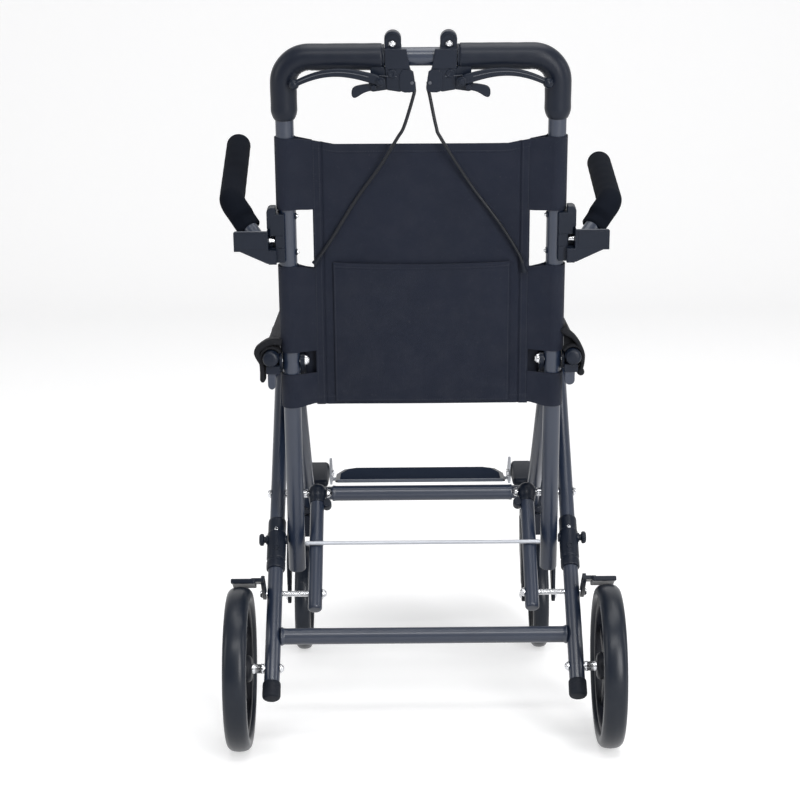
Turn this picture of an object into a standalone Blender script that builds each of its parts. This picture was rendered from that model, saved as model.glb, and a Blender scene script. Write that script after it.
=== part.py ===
"""Transport chair: a folding travel wheelchair in separate named pieces, in metres, +Z up, +Y forward.

Side view sizes are given from the ground point under the rear axle, left is -X.
"""
import math

import bmesh
import bpy
import numpy as np
from mathutils import Matrix, Vector

# Overall layout in the side view
REAR_LEG_FOOT_Y = -0.016
REAR_LEG_FOOT_Z = 0.076
REAR_LEG_ANGLE = math.radians(43.74)
BACK_PIVOT_Y = 0.107
BACK_PIVOT_Z = 0.474
BACK_RECLINE = math.radians(9.77)
FRONT_LEG_ANGLE = math.radians(40.0)
SWIVEL_Y = 0.445
CLEARANCE = 0.0003
RUNNING_GAP = 0.0006

# Widths from the middle plane to each tube's axis
REAR_LEG_X = 0.1895
CANE_X = 0.164
GUIDE_TUBE_X = 0.138
FRONT_LEG_X = 0.160
SEAT_RAIL_X = 0.1885
REAR_WHEEL_X = 0.2295
CASTER_X = 0.168

# Tubes
REAR_LEG_R = 0.00975
REAR_LEG_OVER = 0.011
LEG_CAP_R = 0.0114
LEG_CAP_LENGTH = 0.022
LEG_CAP_BELOW = 0.005
CANE_R = 0.011
GUIDE_TUBE_R = 0.009
FRONT_LEG_R = 0.0095
RAIL_R = 0.0095
CROSSBAR_R = 0.01025
GUIDE_BAR_R = 0.010
TUBE_SIDES = 16

# Stations along the rear leg
AXLE_S = 0.03685
REAR_BAR_S = 0.0818
LOWER_BOLT_S = 0.1429
LOCK_S = 0.223
UPPER_BOLT_S = 0.2935
GUIDE_TUBE_START_S = 0.1190
BRACKET_START_S = 0.1775
BRACKET_END_S = 0.2518
TIE_ROD_S = 0.2105

# Fixings
BOLT_R = 0.003
HEAD_R = 0.0058
HEAD_LENGTH = 0.004
SPACER_R = 0.00375
BUSHING_R = 0.0055
ELBOW_R = 0.0125
ELBOW_LENGTH = 0.024
GUIDE_NUT_LENGTH = 0.006
TIE_ROD_R = 0.0025
BRACKET_WALL = 0.0022
LOCK_PIN_R = 0.0034
LOCK_BOSS_R = 0.0058
KNOB_R = 0.0076
KNOB_LENGTH = 0.006
KNOB_NECK_R = 0.0042

# Rear wheels
REAR_WHEEL_R = 0.1015
REAR_TYRE_WIDTH = 0.029
REAR_TYRE_DEPTH = 0.017
RIM_BAND = 0.009
RIM_WIDTH = 0.021
HUB_R = 0.017
HUB_WIDTH = 0.030
SPOKES = 5
SPOKE_WIDTH = 0.014
SPOKE_THICK = 0.007
AXLE_R = 0.004
HUB_SPACER_R = 0.0065
WHEEL_SEGMENTS = 40

# Brake shoe against the tyre
SHOE_AZIMUTH = math.radians(65.0)
SHOE_GAP = 0.003
SHOE_THICK = 0.0105
SHOE_LENGTH = 0.040
SHOE_OUTER_X = 0.244
SHOE_ARM_THICK = 0.0045
SHOE_ARM_WIDTH = 0.014

# Seat frame
RAIL_ABOVE_PIVOT = 0.006
FOLD_DROP = 0.06315
RAIL_BACK_Y = 0.086
RAIL_FRONT_Y = 0.500
RAIL_CAP_R = 0.0100
RAIL_CAP_LENGTH = 0.008
LUG_THICK = 0.003
LUG_WIDTH = 0.022
SEAT_CLOTH_BACK_Y = 0.187
SEAT_CLOTH_FRONT_Y = 0.484
SEAT_CLOTH_THICK = 0.003
SEAT_SAG = 0.034
SLEEVE_WALL = 0.0018
PIVOT_NUT_LENGTH = 0.006

# Belt halves
BELT_THICK = 0.0025
BELT_WIDTH = 0.026

# Front frame
TONGUE_THICK = 0.0045
TONGUE_X = 0.1473
TONGUE_HEIGHT = 0.016
FRONT_LEG_START = 0.048
FRONT_HEAD_LENGTH = 0.018
FRONT_HEAD_R = 0.0108
FRONT_LEG_END = 0.413
FRONT_BAR_D = 0.384
FRONT_BAR_R = 0.0095
HOUSING_R = 0.0135
HOUSING_BOTTOM_Z = 0.188
HOUSING_TOP_Z = 0.234
KNUCKLE_X = 0.1335
KNUCKLE_BOTTOM_Z = 0.222
KNUCKLE_TOP_Z = 0.250
PLATE_PIVOT_Y = 0.495
PLATE_PIVOT_Z = 0.2345
PLATE_NEAR_Y = 0.500
PLATE_FAR_Y = 0.620
PLATE_NEAR_X = 0.1255
PLATE_FAR_X = 0.115
PLATE_Z = 0.2165
PLATE_THICK = 0.007
PLATE_CHAMFER = 0.018
PLATE_EAR_THICK = 0.003
PLATE_EAR_TOP_Z = 0.256

# Casters
CASTER_R = 0.075
CASTER_WIDTH = 0.022
CASTER_TRAIL = 0.045
CASTER_HUB_R = 0.014
CASTER_HUB_WIDTH = 0.026
BLADE_THICK = 0.005
FORK_WIDTH = 0.048
BLADE_END_R = 0.010
CROWN_HEIGHT = 0.024
CROWN_OVER_WHEEL = 0.006
STEM_R = 0.005
CASTER_AXLE_R = 0.0035
CASTER_SEGMENTS = 26

# Back frame along the canes, from the pivot
CANE_BOTTOM_W = -0.2922
HANDLE_W = 0.383
HANDLE_CORNER_R = 0.031
GRIP_R = 0.016
CLOTH_TO_GRIP = 0.027
GRIP_STRAIGHT = 0.044
GRIP_INNER_X = 0.046
CLOTH_BOTTOM_W = -0.060
CLOTH_SEAM_X = 0.127
CLOTH_HALF_THICK = 0.0016
NOTCH_PAST_CHANNEL = 0.001
NOTCH_BELOW_CHANNEL = 0.0065
LOW_NOTCH_BOTTOM_W = -0.020
LOW_NOTCH_TOP_W = 0.009
NOTCH_INNER_X = 0.133
RELIEF_BOTTOM_W = -0.034
RELIEF_TOP_W = 0.040
RELIEF_BACK_N = -0.006
POCKET_X = 0.110
POCKET_BOTTOM_W = -0.055
POCKET_TOP_W = 0.128
POCKET_THICK = 0.003

# Armrests
ARM_PIVOT_W = 0.1573
ARM_X = 0.200
ARM_TUBE_R = 0.0095
ARM_EYE_R = 0.0092
ARM_BEND_X = 0.234
ARM_BEND_N = 0.0366
ARM_BEND_UP = 0.0373
ARM_TIP_X = 0.239
ARM_TIP_N = 0.231
ARM_TIP_UP = 0.0474
ARM_PAD_R = 0.0155
ARM_CORNER_R = 0.022
ARM_PAD_BACK = 0.0185
ARM_PAD_DOME = 0.0135
ARM_TUBE_SHORT = 0.004
ARM_LEFT_LIFT = math.radians(3.5)
CHANNEL_BELOW_PIVOT = 0.0248
CHANNEL_ABOVE_PIVOT = 0.0367
CHANNEL_BACK_N = -0.0155
CHEEK_ABOVE_PIVOT = 0.0427
CHEEK_THICK = 0.0085
CLAMP_INNER_X = 0.167
CLAMP_OUTER_X = 0.187
CLEVIS_OUTER_X = 0.229
CLEVIS_WALL = 0.0065
CLEVIS_INNER_WALL = 0.0012
CLEVIS_REAR_WALL = 0.0035
CLEVIS_FLOOR = 0.004
CLEVIS_ABOVE_PIVOT = 0.0180
CLEVIS_SIDE_ABOVE_PIVOT = 0.0085
CLEVIS_BELOW_PIVOT = 0.0135
CLEVIS_HEEL = 0.0105
CLEVIS_BACK_N = -0.0245
CLEVIS_FRONT_N = 0.0120

# Brake levers on the push bar
CLAMP_X = 0.0325
CLAMP_WIDTH = 0.020
CLAMP_WALL = 0.0035
DOME_HEIGHT = 0.032
LEVER_PIVOT_X = 0.0480
LEVER_DROP = 0.025
LEVER_PIVOT_N = -0.0225
LEVER_TIP_X = 0.1513
LEVER_TIP_RISE = -0.0083
LEVER_ARCH = 0.012
LEVER_THICK = 0.0045
LEVER_BALL_R = 0.0045
CATCH_PIVOT_X = 0.0560
CATCH_DROP = 0.0075
CATCH_REACH = 0.027
CATCH_THICK = 0.0045
CABLE_R = 0.0021
CABLE_N = -0.0165
CABLE_START_X = 0.0100
ADJUSTER_LENGTH = 0.010
CABLE_START_N = -0.0075
CABLE_START_UP = -0.0035
CATCH_N = -0.0165

GRIP_END_W = HANDLE_W - HANDLE_CORNER_R - GRIP_STRAIGHT
CLOTH_TOP_W = GRIP_END_W - CLOTH_TO_GRIP
SIDE_NOTCH_BOTTOM_W = ARM_PIVOT_W - CHANNEL_BELOW_PIVOT - NOTCH_BELOW_CHANNEL
SIDE_NOTCH_TOP_W = ARM_PIVOT_W + CHANNEL_ABOVE_PIVOT + NOTCH_PAST_CHANNEL
LEVER_PIVOT_W = HANDLE_W - LEVER_DROP
CATCH_PIVOT_W = LEVER_PIVOT_W - CATCH_DROP
ADJUSTER_END_W = LEVER_PIVOT_W + CABLE_START_UP
CABLE_START = (CABLE_START_X - 0.0007, CABLE_START_N, ADJUSTER_END_W - 0.0010)
LEG_CAP_START = -LEG_CAP_BELOW
MID_Y = (PLATE_FAR_Y - REAR_WHEEL_R + (REAR_LEG_FOOT_Y + AXLE_S * math.cos(REAR_LEG_ANGLE))) / 2
RAIL_Z = BACK_PIVOT_Z + RAIL_ABOVE_PIVOT
REAR_LEG_REACH = (RAIL_Z - FOLD_DROP - REAR_LEG_FOOT_Z) / math.sin(REAR_LEG_ANGLE)
AXLE_Y = REAR_LEG_FOOT_Y + AXLE_S * math.cos(REAR_LEG_ANGLE)
AXLE_Z = REAR_LEG_FOOT_Z + AXLE_S * math.sin(REAR_LEG_ANGLE)
FOLD_Y = REAR_LEG_FOOT_Y + REAR_LEG_REACH * math.cos(REAR_LEG_ANGLE)
FOLD_Z = REAR_LEG_FOOT_Z + REAR_LEG_REACH * math.sin(REAR_LEG_ANGLE)
FRAME = ((0.075, 0.083, 0.102), 0.75, 0.34)
BLACK = ((0.018, 0.019, 0.022), 0.0, 0.48)
FOAM = ((0.020, 0.022, 0.028), 0.0, 0.85)
CLOTH = ((0.022, 0.025, 0.036), 0.0, 0.92)
RUBBER = ((0.028, 0.029, 0.032), 0.0, 0.70)
STEEL = ((0.66, 0.67, 0.69), 1.0, 0.22)
WEBBING = ((0.012, 0.012, 0.014), 0.0, 0.90)


# Building helpers
def empty(name, parent, location, tilt=0.0):
    obj = bpy.data.objects.new(name, None)
    bpy.context.scene.collection.objects.link(obj)
    obj.parent = parent
    obj.location = location
    obj.rotation_euler = (tilt, 0.0, 0.0)
    obj.empty_display_size = 0.03
    return obj


def paint(obj, look):
    colour, metallic, roughness = look
    material = bpy.data.materials.new(obj.name)
    material.use_nodes = True
    shader = material.node_tree.nodes["Principled BSDF"]
    shader.inputs["Base Color"].default_value = (*colour, 1.0)
    shader.inputs["Metallic"].default_value = metallic
    shader.inputs["Roughness"].default_value = roughness
    obj.data.materials.append(material)


def add(name, shape, parent, side=1):
    """One mesh object from (points, faces); side -1 mirrors it across the middle plane."""
    points, faces = shape
    mesh = bpy.data.meshes.new(name)
    mesh.from_pydata([(x * side, y, z) for x, y, z in points], [], faces)
    shaped = bmesh.new()
    shaped.from_mesh(mesh)
    bmesh.ops.recalc_face_normals(shaped, faces=shaped.faces)
    shaped.to_mesh(mesh)
    shaped.free()
    mesh.shade_smooth()
    mesh.set_sharp_from_angle(angle=math.radians(35))
    obj = bpy.data.objects.new(name, mesh)
    bpy.context.scene.collection.objects.link(obj)
    obj.parent = parent
    return obj


def node(name, shape, parent, look, side=1):
    obj = add(name, shape, parent, side)
    paint(obj, look)
    return obj


def combine(obj, shape, operation, side=1):
    """A Boolean of the object with one more closed shape, kept as a hidden wire helper."""
    helper = add(f"{obj.name}_{operation.lower()}_{len(obj.modifiers)}", shape, obj.parent, side)
    helper.location = obj.location
    helper.hide_render = True
    helper.display_type = "WIRE"
    modifier = obj.modifiers.new(helper.name, "BOOLEAN")
    modifier.operation = operation
    modifier.object = helper
    modifier.solver = "EXACT"


def loft(rings, loop=False):
    """Quads between rings of equal count; caps on both ends unless the rings close on themselves."""
    count = len(rings[0])
    points = [tuple(p) for ring in rings for p in ring]
    faces = []
    last = len(rings) if loop else len(rings) - 1
    for i in range(last):
        a = i * count
        b = ((i + 1) % len(rings)) * count
        for k in range(count):
            n = (k + 1) % count
            faces.append((a + k, a + n, b + n, b + k))
    if not loop:
        faces.append(tuple(range(count))[::-1])
        faces.append(tuple(range((len(rings) - 1) * count, len(rings) * count)))
    return points, faces


def path_rings(path, radii, sides):
    """Circles across a path, carried along it without twist."""
    path = [Vector(p) for p in path]
    tangents = []
    for i, point in enumerate(path):
        ahead = (path[i + 1] - point).normalized() if i + 1 < len(path) else Vector()
        behind = (point - path[i - 1]).normalized() if i else Vector()
        tangents.append((ahead + behind).normalized())
    normal = tangents[0].orthogonal().normalized()
    rings = []
    for i, (point, tangent) in enumerate(zip(path, tangents)):
        if i:
            normal = tangents[i - 1].rotation_difference(tangent) @ normal
        other = tangent.cross(normal)
        turns = [2 * math.pi * (k + 0.5) / sides for k in range(sides)]
        rings.append([point + radii[i] * (math.cos(t) * normal + math.sin(t) * other) for t in turns])
    return rings


def rod(path, radii, sides=TUBE_SIDES):
    if not hasattr(radii, "__len__"):
        radii = [radii] * len(path)
    return loft(path_rings(path, radii, sides))


def across(profile, y, z, sides=10):
    """A turned piece along X through (y, z); profile holds (x, radius)."""
    return rod([(x, y, z) for x, _ in profile], [r for _, r in profile], sides)


def upright(profile, x, y, sides=16):
    """A turned piece along Z; profile holds (z, radius)."""
    return rod([(x, y, z) for z, _ in profile], [r for _, r in profile], sides)


def sleeve(path, outer, inner, sides=TUBE_SIDES):
    """A hollow tube along a path, open at both ends."""
    outside = path_rings(path, [outer] * len(path), sides)
    inside = path_rings(path, [inner] * len(path), sides)
    return loft(outside + inside[::-1], loop=True)


def slab(outline, low, high):
    """A side view outline of (y, z) points, thick along X."""
    return loft([[(x, y, z) for y, z in outline] for x in (low, high)])


def sheet_slab(outline, low, high):
    """A plan outline of (x, y) points, thick along Z."""
    return loft([[(x, y, z) for x, y in outline] for z in (low, high)])


def brick(x0, x1, y0, y1, z0, z1):
    return slab([(y0, z0), (y1, z0), (y1, z1), (y0, z1)], x0, x1)


def arc(centre, radius, start, stop, steps):
    turns = np.linspace(start, stop, steps + 1)
    return [(centre[0] + radius * math.cos(t), centre[1] + radius * math.sin(t)) for t in turns]


def ring_turned(profile, x, y, z, segments):
    """A wheel part round an X axis; profile is a closed loop of (offset along X, radius)."""
    rings = []
    for k in range(segments):
        t = 2 * math.pi * k / segments
        rings.append([(x + a, y + r * math.sin(t), z - r * math.cos(t)) for a, r in profile])
    return loft(rings, loop=True)


def bolt_hole(obj, x0, x1, y, z, radius, side):
    reach = (radius + CLEARANCE) / math.cos(math.pi / 8)
    combine(obj, across([(x0, reach), (x1, reach)], y, z, 8), "DIFFERENCE", side)


# Rear frame
def rear_leg(tag, side, line):
    top = REAR_LEG_REACH + REAR_LEG_OVER
    cap_top = LEG_CAP_START + LEG_CAP_LENGTH
    stations = [LEG_CAP_START, LEG_CAP_START + 0.002, cap_top, cap_top, top - 0.003, top]
    radii = [LEG_CAP_R - 0.002, LEG_CAP_R, LEG_CAP_R, REAR_LEG_R, REAR_LEG_R, REAR_LEG_R - 0.003]
    obj = node(f"rear_leg_{tag}", rod([(REAR_LEG_X, s, 0) for s in stations], radii), line, FRAME, side)
    inner = REAR_LEG_X - 2 * REAR_LEG_R
    outer = REAR_LEG_X + 2 * REAR_LEG_R
    for s in (LOWER_BOLT_S, UPPER_BOLT_S, REAR_LEG_REACH):
        bolt_hole(obj, inner, outer, s, 0, BOLT_R, side)
    bolt_hole(obj, inner, outer, AXLE_S, 0, AXLE_R, side)
    bolt_hole(obj, inner, outer, LOCK_S, 0, LOCK_PIN_R, side)


def rear_crossbar(line):
    reach = REAR_LEG_X - REAR_LEG_R - CLEARANCE
    node("rear_crossbar", rod([(-reach, REAR_BAR_S, 0), (reach, REAR_BAR_S, 0)], CROSSBAR_R), line, FRAME)


def guide_tube(tag, side, line):
    end = UPPER_BOLT_S - ELBOW_LENGTH / 2
    stations = [
        GUIDE_TUBE_START_S, GUIDE_TUBE_START_S + 0.002, end, end, UPPER_BOLT_S - ELBOW_R * 0.6,
        UPPER_BOLT_S, UPPER_BOLT_S + ELBOW_R * 0.7, UPPER_BOLT_S + ELBOW_R,
    ]
    radii = [
        GUIDE_TUBE_R - 0.002, GUIDE_TUBE_R, GUIDE_TUBE_R, ELBOW_R * 0.72, ELBOW_R * 0.88, ELBOW_R,
        ELBOW_R * 0.7, ELBOW_R * 0.25,
    ]
    obj = node(f"guide_tube_{tag}", rod([(GUIDE_TUBE_X, s, 0) for s in stations], radii), line, FRAME, side)
    inner = GUIDE_TUBE_X - 2 * ELBOW_R
    outer = GUIDE_TUBE_X + 2 * ELBOW_R
    for s in (LOWER_BOLT_S, UPPER_BOLT_S):
        bolt_hole(obj, inner, outer, s, 0, BOLT_R, side)


def guide_crossbar(line):
    reach = GUIDE_TUBE_X - ELBOW_R - GUIDE_NUT_LENGTH - 3 * CLEARANCE
    node(
        "guide_crossbar", rod([(-reach, UPPER_BOLT_S, 0), (reach, UPPER_BOLT_S, 0)], GUIDE_BAR_R), line,
        FRAME,
    )


def guide_bolts(tag, side, line):
    """Through bolts from the rear leg to the guide tube, with the spacer that keeps the cane's slot open."""
    leg_out = REAR_LEG_X + REAR_LEG_R + CLEARANCE
    leg_in = REAR_LEG_X - REAR_LEG_R - CLEARANCE
    elbow_out = GUIDE_TUBE_X + ELBOW_R + CLEARANCE
    elbow_in = GUIDE_TUBE_X - ELBOW_R - CLEARANCE
    upper = [
        (leg_out + HEAD_LENGTH, HEAD_R - 0.0015), (leg_out + HEAD_LENGTH - 0.0015, HEAD_R),
        (leg_out, HEAD_R), (leg_out, BOLT_R), (leg_in, BOLT_R), (leg_in, BUSHING_R), (elbow_out, BUSHING_R),
        (elbow_out, BOLT_R), (elbow_in, BOLT_R), (elbow_in, HEAD_R),
        (elbow_in - GUIDE_NUT_LENGTH + 0.002, HEAD_R), (elbow_in - GUIDE_NUT_LENGTH, HEAD_R - 0.002),
    ]
    node(f"upper_guide_bolt_{tag}", across(upper, UPPER_BOLT_S, 0), line, STEEL, side)
    arm_out = leg_out + SHOE_ARM_THICK + 2 * CLEARANCE
    tube_out = GUIDE_TUBE_X + GUIDE_TUBE_R + CLEARANCE
    tube_in = GUIDE_TUBE_X - GUIDE_TUBE_R - CLEARANCE
    lower = [
        (arm_out + HEAD_LENGTH, HEAD_R - 0.0015), (arm_out + HEAD_LENGTH - 0.0015, HEAD_R),
        (arm_out, HEAD_R), (arm_out, BOLT_R), (leg_in, BOLT_R), (leg_in, SPACER_R), (tube_out, SPACER_R),
        (tube_out, BOLT_R), (tube_in, BOLT_R), (tube_in, HEAD_R), (tube_in - HEAD_LENGTH, HEAD_R),
        (tube_in - HEAD_LENGTH, HEAD_R - 0.002),
    ]
    node(f"lower_guide_bolt_{tag}", across(lower, LOWER_BOLT_S, 0), line, STEEL, side)


def lock_bracket(tag, side, line):
    """The sleeve on the rear leg that carries the pull knob, with its boss beside the cane."""
    bore = REAR_LEG_R + CLEARANCE
    shape = sleeve(
        [(REAR_LEG_X, BRACKET_START_S, 0), (REAR_LEG_X, BRACKET_END_S, 0)], bore + BRACKET_WALL, bore,
    )
    obj = node(f"lock_bracket_{tag}", shape, line, BLACK, side)
    face_in = CANE_X + CANE_R + RUNNING_GAP
    combine(
        obj,
        across(
            [(face_in, LOCK_BOSS_R), (REAR_LEG_X - REAR_LEG_R - CLEARANCE - BRACKET_WALL / 2, LOCK_BOSS_R)],
            LOCK_S, 0,
        ),
        "UNION", side,
    )
    outer = REAR_LEG_X + bore + BRACKET_WALL
    combine(
        obj, across([(outer - BRACKET_WALL * 0.7, LOCK_BOSS_R), (outer + 0.002, LOCK_BOSS_R)], LOCK_S, 0),
        "UNION", side,
    )
    bolt_hole(obj, face_in - 0.002, outer + 0.004, LOCK_S, 0, LOCK_PIN_R, side)


def lock_knob(tag, side, line):
    """Pull knob and pin, in one piece; its origin is on the pin's axis."""
    seat = empty(f"lock_slide_{tag}", line, (side * REAR_LEG_X, LOCK_S, 0))
    tip = CANE_X + CANE_R + RUNNING_GAP - REAR_LEG_X
    face = REAR_LEG_R + 2 * CLEARANCE + BRACKET_WALL + 0.002
    profile = [
        (tip, LOCK_PIN_R - 0.001), (tip + 0.001, LOCK_PIN_R), (face, LOCK_PIN_R), (face, KNOB_NECK_R),
        (face + 0.003, KNOB_NECK_R), (face + 0.003, KNOB_R), (face + 0.003 + KNOB_LENGTH - 0.0015, KNOB_R),
        (face + 0.003 + KNOB_LENGTH, KNOB_R - 0.0015),
    ]
    node(f"lock_knob_{tag}", across(profile, 0, 0), seat, BLACK, side)


def tie_rod(line):
    reach = CANE_X - CANE_R - 0.001
    lift = GUIDE_TUBE_R + TIE_ROD_R + CLEARANCE
    node("tie_rod", rod([(-reach, TIE_ROD_S, lift), (reach, TIE_ROD_S, lift)], TIE_ROD_R, 10), line, STEEL)


def rear_axle(tag, side, line):
    """Axle bolt with its hub spacer, from the leg's inner face to the nut outside the hub."""
    leg_in = REAR_LEG_X - REAR_LEG_R - CLEARANCE
    leg_out = REAR_LEG_X + REAR_LEG_R + CLEARANCE
    hub_in = REAR_WHEEL_X - HUB_WIDTH / 2 - CLEARANCE
    hub_out = REAR_WHEEL_X + HUB_WIDTH / 2 + CLEARANCE
    profile = [
        (leg_in - HEAD_LENGTH, HEAD_R), (leg_in, HEAD_R), (leg_in, AXLE_R), (leg_out, AXLE_R),
        (leg_out, HUB_SPACER_R), (hub_in, HUB_SPACER_R), (hub_in, AXLE_R), (hub_out, AXLE_R),
        (hub_out, HEAD_R + 0.001), (hub_out + HEAD_LENGTH, HEAD_R + 0.001),
        (hub_out + HEAD_LENGTH + 0.002, HEAD_R - 0.002),
    ]
    node(f"rear_axle_{tag}", across(profile, AXLE_S, 0), line, STEEL, side)


def tyre_profile(width, outer, depth):
    half = width / 2
    inner = outer - depth
    return [
        (-half * 0.6, inner), (half * 0.6, inner), (half, outer - depth * 0.55),
        (half * 0.88, outer - depth * 0.16), (half * 0.52, outer), (-half * 0.52, outer),
        (-half * 0.88, outer - depth * 0.16), (-half, outer - depth * 0.55),
    ]


def rear_wheel(tag, side, chair):
    """Solid tyre on a five spoke rim; both have their origin on the axle."""
    axis = empty(f"rear_wheel_axis_{tag}", chair, (side * REAR_WHEEL_X, AXLE_Y, AXLE_Z))
    node(
        f"rear_tyre_{tag}",
        ring_turned(tyre_profile(REAR_TYRE_WIDTH, REAR_WHEEL_R, REAR_TYRE_DEPTH), 0, 0, 0, WHEEL_SEGMENTS),
        axis, RUBBER, side,
    )
    band_out = REAR_WHEEL_R - REAR_TYRE_DEPTH - CLEARANCE
    band_in = band_out - RIM_BAND
    half = RIM_WIDTH / 2
    band = [
        (-half, band_in + 0.003), (-half * 0.6, band_in), (half * 0.6, band_in), (half, band_in + 0.003),
        (half * 0.85, band_out), (-half * 0.85, band_out),
    ]
    rim = node(f"rear_rim_{tag}", ring_turned(band, 0, 0, 0, WHEEL_SEGMENTS), axis, BLACK, side)
    half = HUB_WIDTH / 2
    bore = AXLE_R + CLEARANCE
    for k in range(SPOKES):
        turn = 2 * math.pi * k / SPOKES + math.pi / 2
        u = np.array([math.cos(turn), math.sin(turn)])
        v = np.array([-u[1], u[0]]) * SPOKE_WIDTH / 2
        inner = u * HUB_R * 0.6
        outer = u * (band_in + RIM_BAND * 0.4)
        outline = [
            tuple(inner - 1.3 * v), tuple(outer - 0.8 * v), tuple(outer + 0.8 * v), tuple(inner + 1.3 * v),
        ]
        combine(rim, slab(outline, -SPOKE_THICK / 2, SPOKE_THICK / 2), "UNION", side)
    hub = [(-half, HUB_R - 0.003), (-half + 0.003, HUB_R), (half - 0.003, HUB_R), (half, HUB_R - 0.003)]
    combine(rim, across(hub, 0, 0, 20), "UNION", side)
    combine(rim, across([(-HUB_WIDTH, bore), (HUB_WIDTH, bore)], 0, 0, 12), "DIFFERENCE", side)


def brake_shoe(tag, side, chair):
    """Arm and pressing plate in front of the tyre; its origin is on the lower guide bolt."""
    pivot_y = REAR_LEG_FOOT_Y + LOWER_BOLT_S * math.cos(REAR_LEG_ANGLE)
    pivot_z = REAR_LEG_FOOT_Z + LOWER_BOLT_S * math.sin(REAR_LEG_ANGLE)
    axis = empty(f"brake_pivot_{tag}", chair, (side * REAR_LEG_X, pivot_y, pivot_z))
    u = np.array([math.cos(SHOE_AZIMUTH), math.sin(SHOE_AZIMUTH)])
    v = np.array([-u[1], u[0]])
    wheel = np.array([AXLE_Y - pivot_y, AXLE_Z - pivot_z])
    low = wheel + u * (REAR_WHEEL_R + SHOE_GAP)
    high = low + u * SHOE_THICK
    reach = v * SHOE_LENGTH / 2
    inside = REAR_LEG_R + CLEARANCE * 2
    outline = [tuple(low - reach), tuple(high - reach), tuple(high + reach * 0.9), tuple(low + reach)]
    obj = node(f"brake_shoe_{tag}", slab(outline, inside, SHOE_OUTER_X - REAR_LEG_X), axis, BLACK, side)
    middle = (low + high) / 2
    along = middle / np.linalg.norm(middle)
    wide = np.array([-along[1], along[0]]) * SHOE_ARM_WIDTH / 2
    arm = [
        tuple(-along * SHOE_ARM_WIDTH / 2 - wide * 0.7), tuple(middle - wide), tuple(middle + wide),
        tuple(-along * SHOE_ARM_WIDTH / 2 + wide * 0.7),
    ]
    combine(obj, slab(arm, inside, inside + SHOE_ARM_THICK), "UNION", side)
    bolt_hole(obj, 0, 3 * REAR_LEG_R, 0, 0, BOLT_R, side)


# Seat frame
def seat_rail(tag, side, seat):
    """Rail tube with its end plugs; positions are from the leg fold axis."""
    z = RAIL_Z - FOLD_Z
    back = RAIL_BACK_Y - FOLD_Y
    front = RAIL_FRONT_Y - FOLD_Y
    stations = [
        back - RAIL_CAP_LENGTH, back - RAIL_CAP_LENGTH * 0.6, back, back, front, front,
        front + RAIL_CAP_LENGTH * 0.6, front + RAIL_CAP_LENGTH,
    ]
    radii = [
        RAIL_CAP_R * 0.6, RAIL_CAP_R * 0.95, RAIL_CAP_R, RAIL_R, RAIL_R, RAIL_CAP_R, RAIL_CAP_R * 0.95,
        RAIL_CAP_R * 0.6,
    ]
    obj = node(f"seat_rail_{tag}", rod([(SEAT_RAIL_X, y, z) for y in stations], radii), seat, FRAME, side)
    bolt_hole(
        obj, SEAT_RAIL_X - 2 * RAIL_R, SEAT_RAIL_X + 2 * RAIL_R, BACK_PIVOT_Y - FOLD_Y,
        BACK_PIVOT_Z - FOLD_Z, BOLT_R, side,
    )


def seat_lug(tag, side, seat):
    """Fork that hangs from the rail and carries the rear leg's top, with its bolt in one piece."""
    rail_z = RAIL_Z - FOLD_Z
    outer = REAR_LEG_R + RUNNING_GAP + LUG_THICK
    half = LUG_WIDTH / 2
    saddle = RAIL_R + CLEARANCE
    outline = [
        (-half, rail_z - saddle * 0.2), (-half, 0.0),
    ] + arc((0, 0), half, math.pi, 2 * math.pi, 8)[1:-1] + [(half, 0.0), (half, rail_z - saddle * 0.2)]
    obj = node(f"seat_lug_{tag}", slab(outline, REAR_LEG_X - outer, REAR_LEG_X + outer), seat, BLACK, side)
    gap = REAR_LEG_R + RUNNING_GAP
    top = rail_z - saddle - 0.004
    combine(
        obj, brick(REAR_LEG_X - gap, REAR_LEG_X + gap, -2 * LUG_WIDTH, 2 * LUG_WIDTH, -2 * LUG_WIDTH, top),
        "DIFFERENCE", side,
    )
    combine(
        obj, rod([(SEAT_RAIL_X, -2 * LUG_WIDTH, rail_z), (SEAT_RAIL_X, 2 * LUG_WIDTH, rail_z)], saddle),
        "DIFFERENCE", side,
    )
    combine(
        obj,
        across(
            [
                (REAR_LEG_X - outer - HEAD_LENGTH, HEAD_R - 0.001), (REAR_LEG_X - outer - 0.001, HEAD_R),
                (REAR_LEG_X - outer + 0.0005, HEAD_R), (REAR_LEG_X - outer + 0.0005, BOLT_R),
                (REAR_LEG_X + outer - 0.0005, BOLT_R), (REAR_LEG_X + outer - 0.0005, HEAD_R),
                (REAR_LEG_X + outer + 0.001, HEAD_R), (REAR_LEG_X + outer + HEAD_LENGTH, HEAD_R - 0.001),
            ],
            0, 0,
        ),
        "UNION", side,
    )


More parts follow.
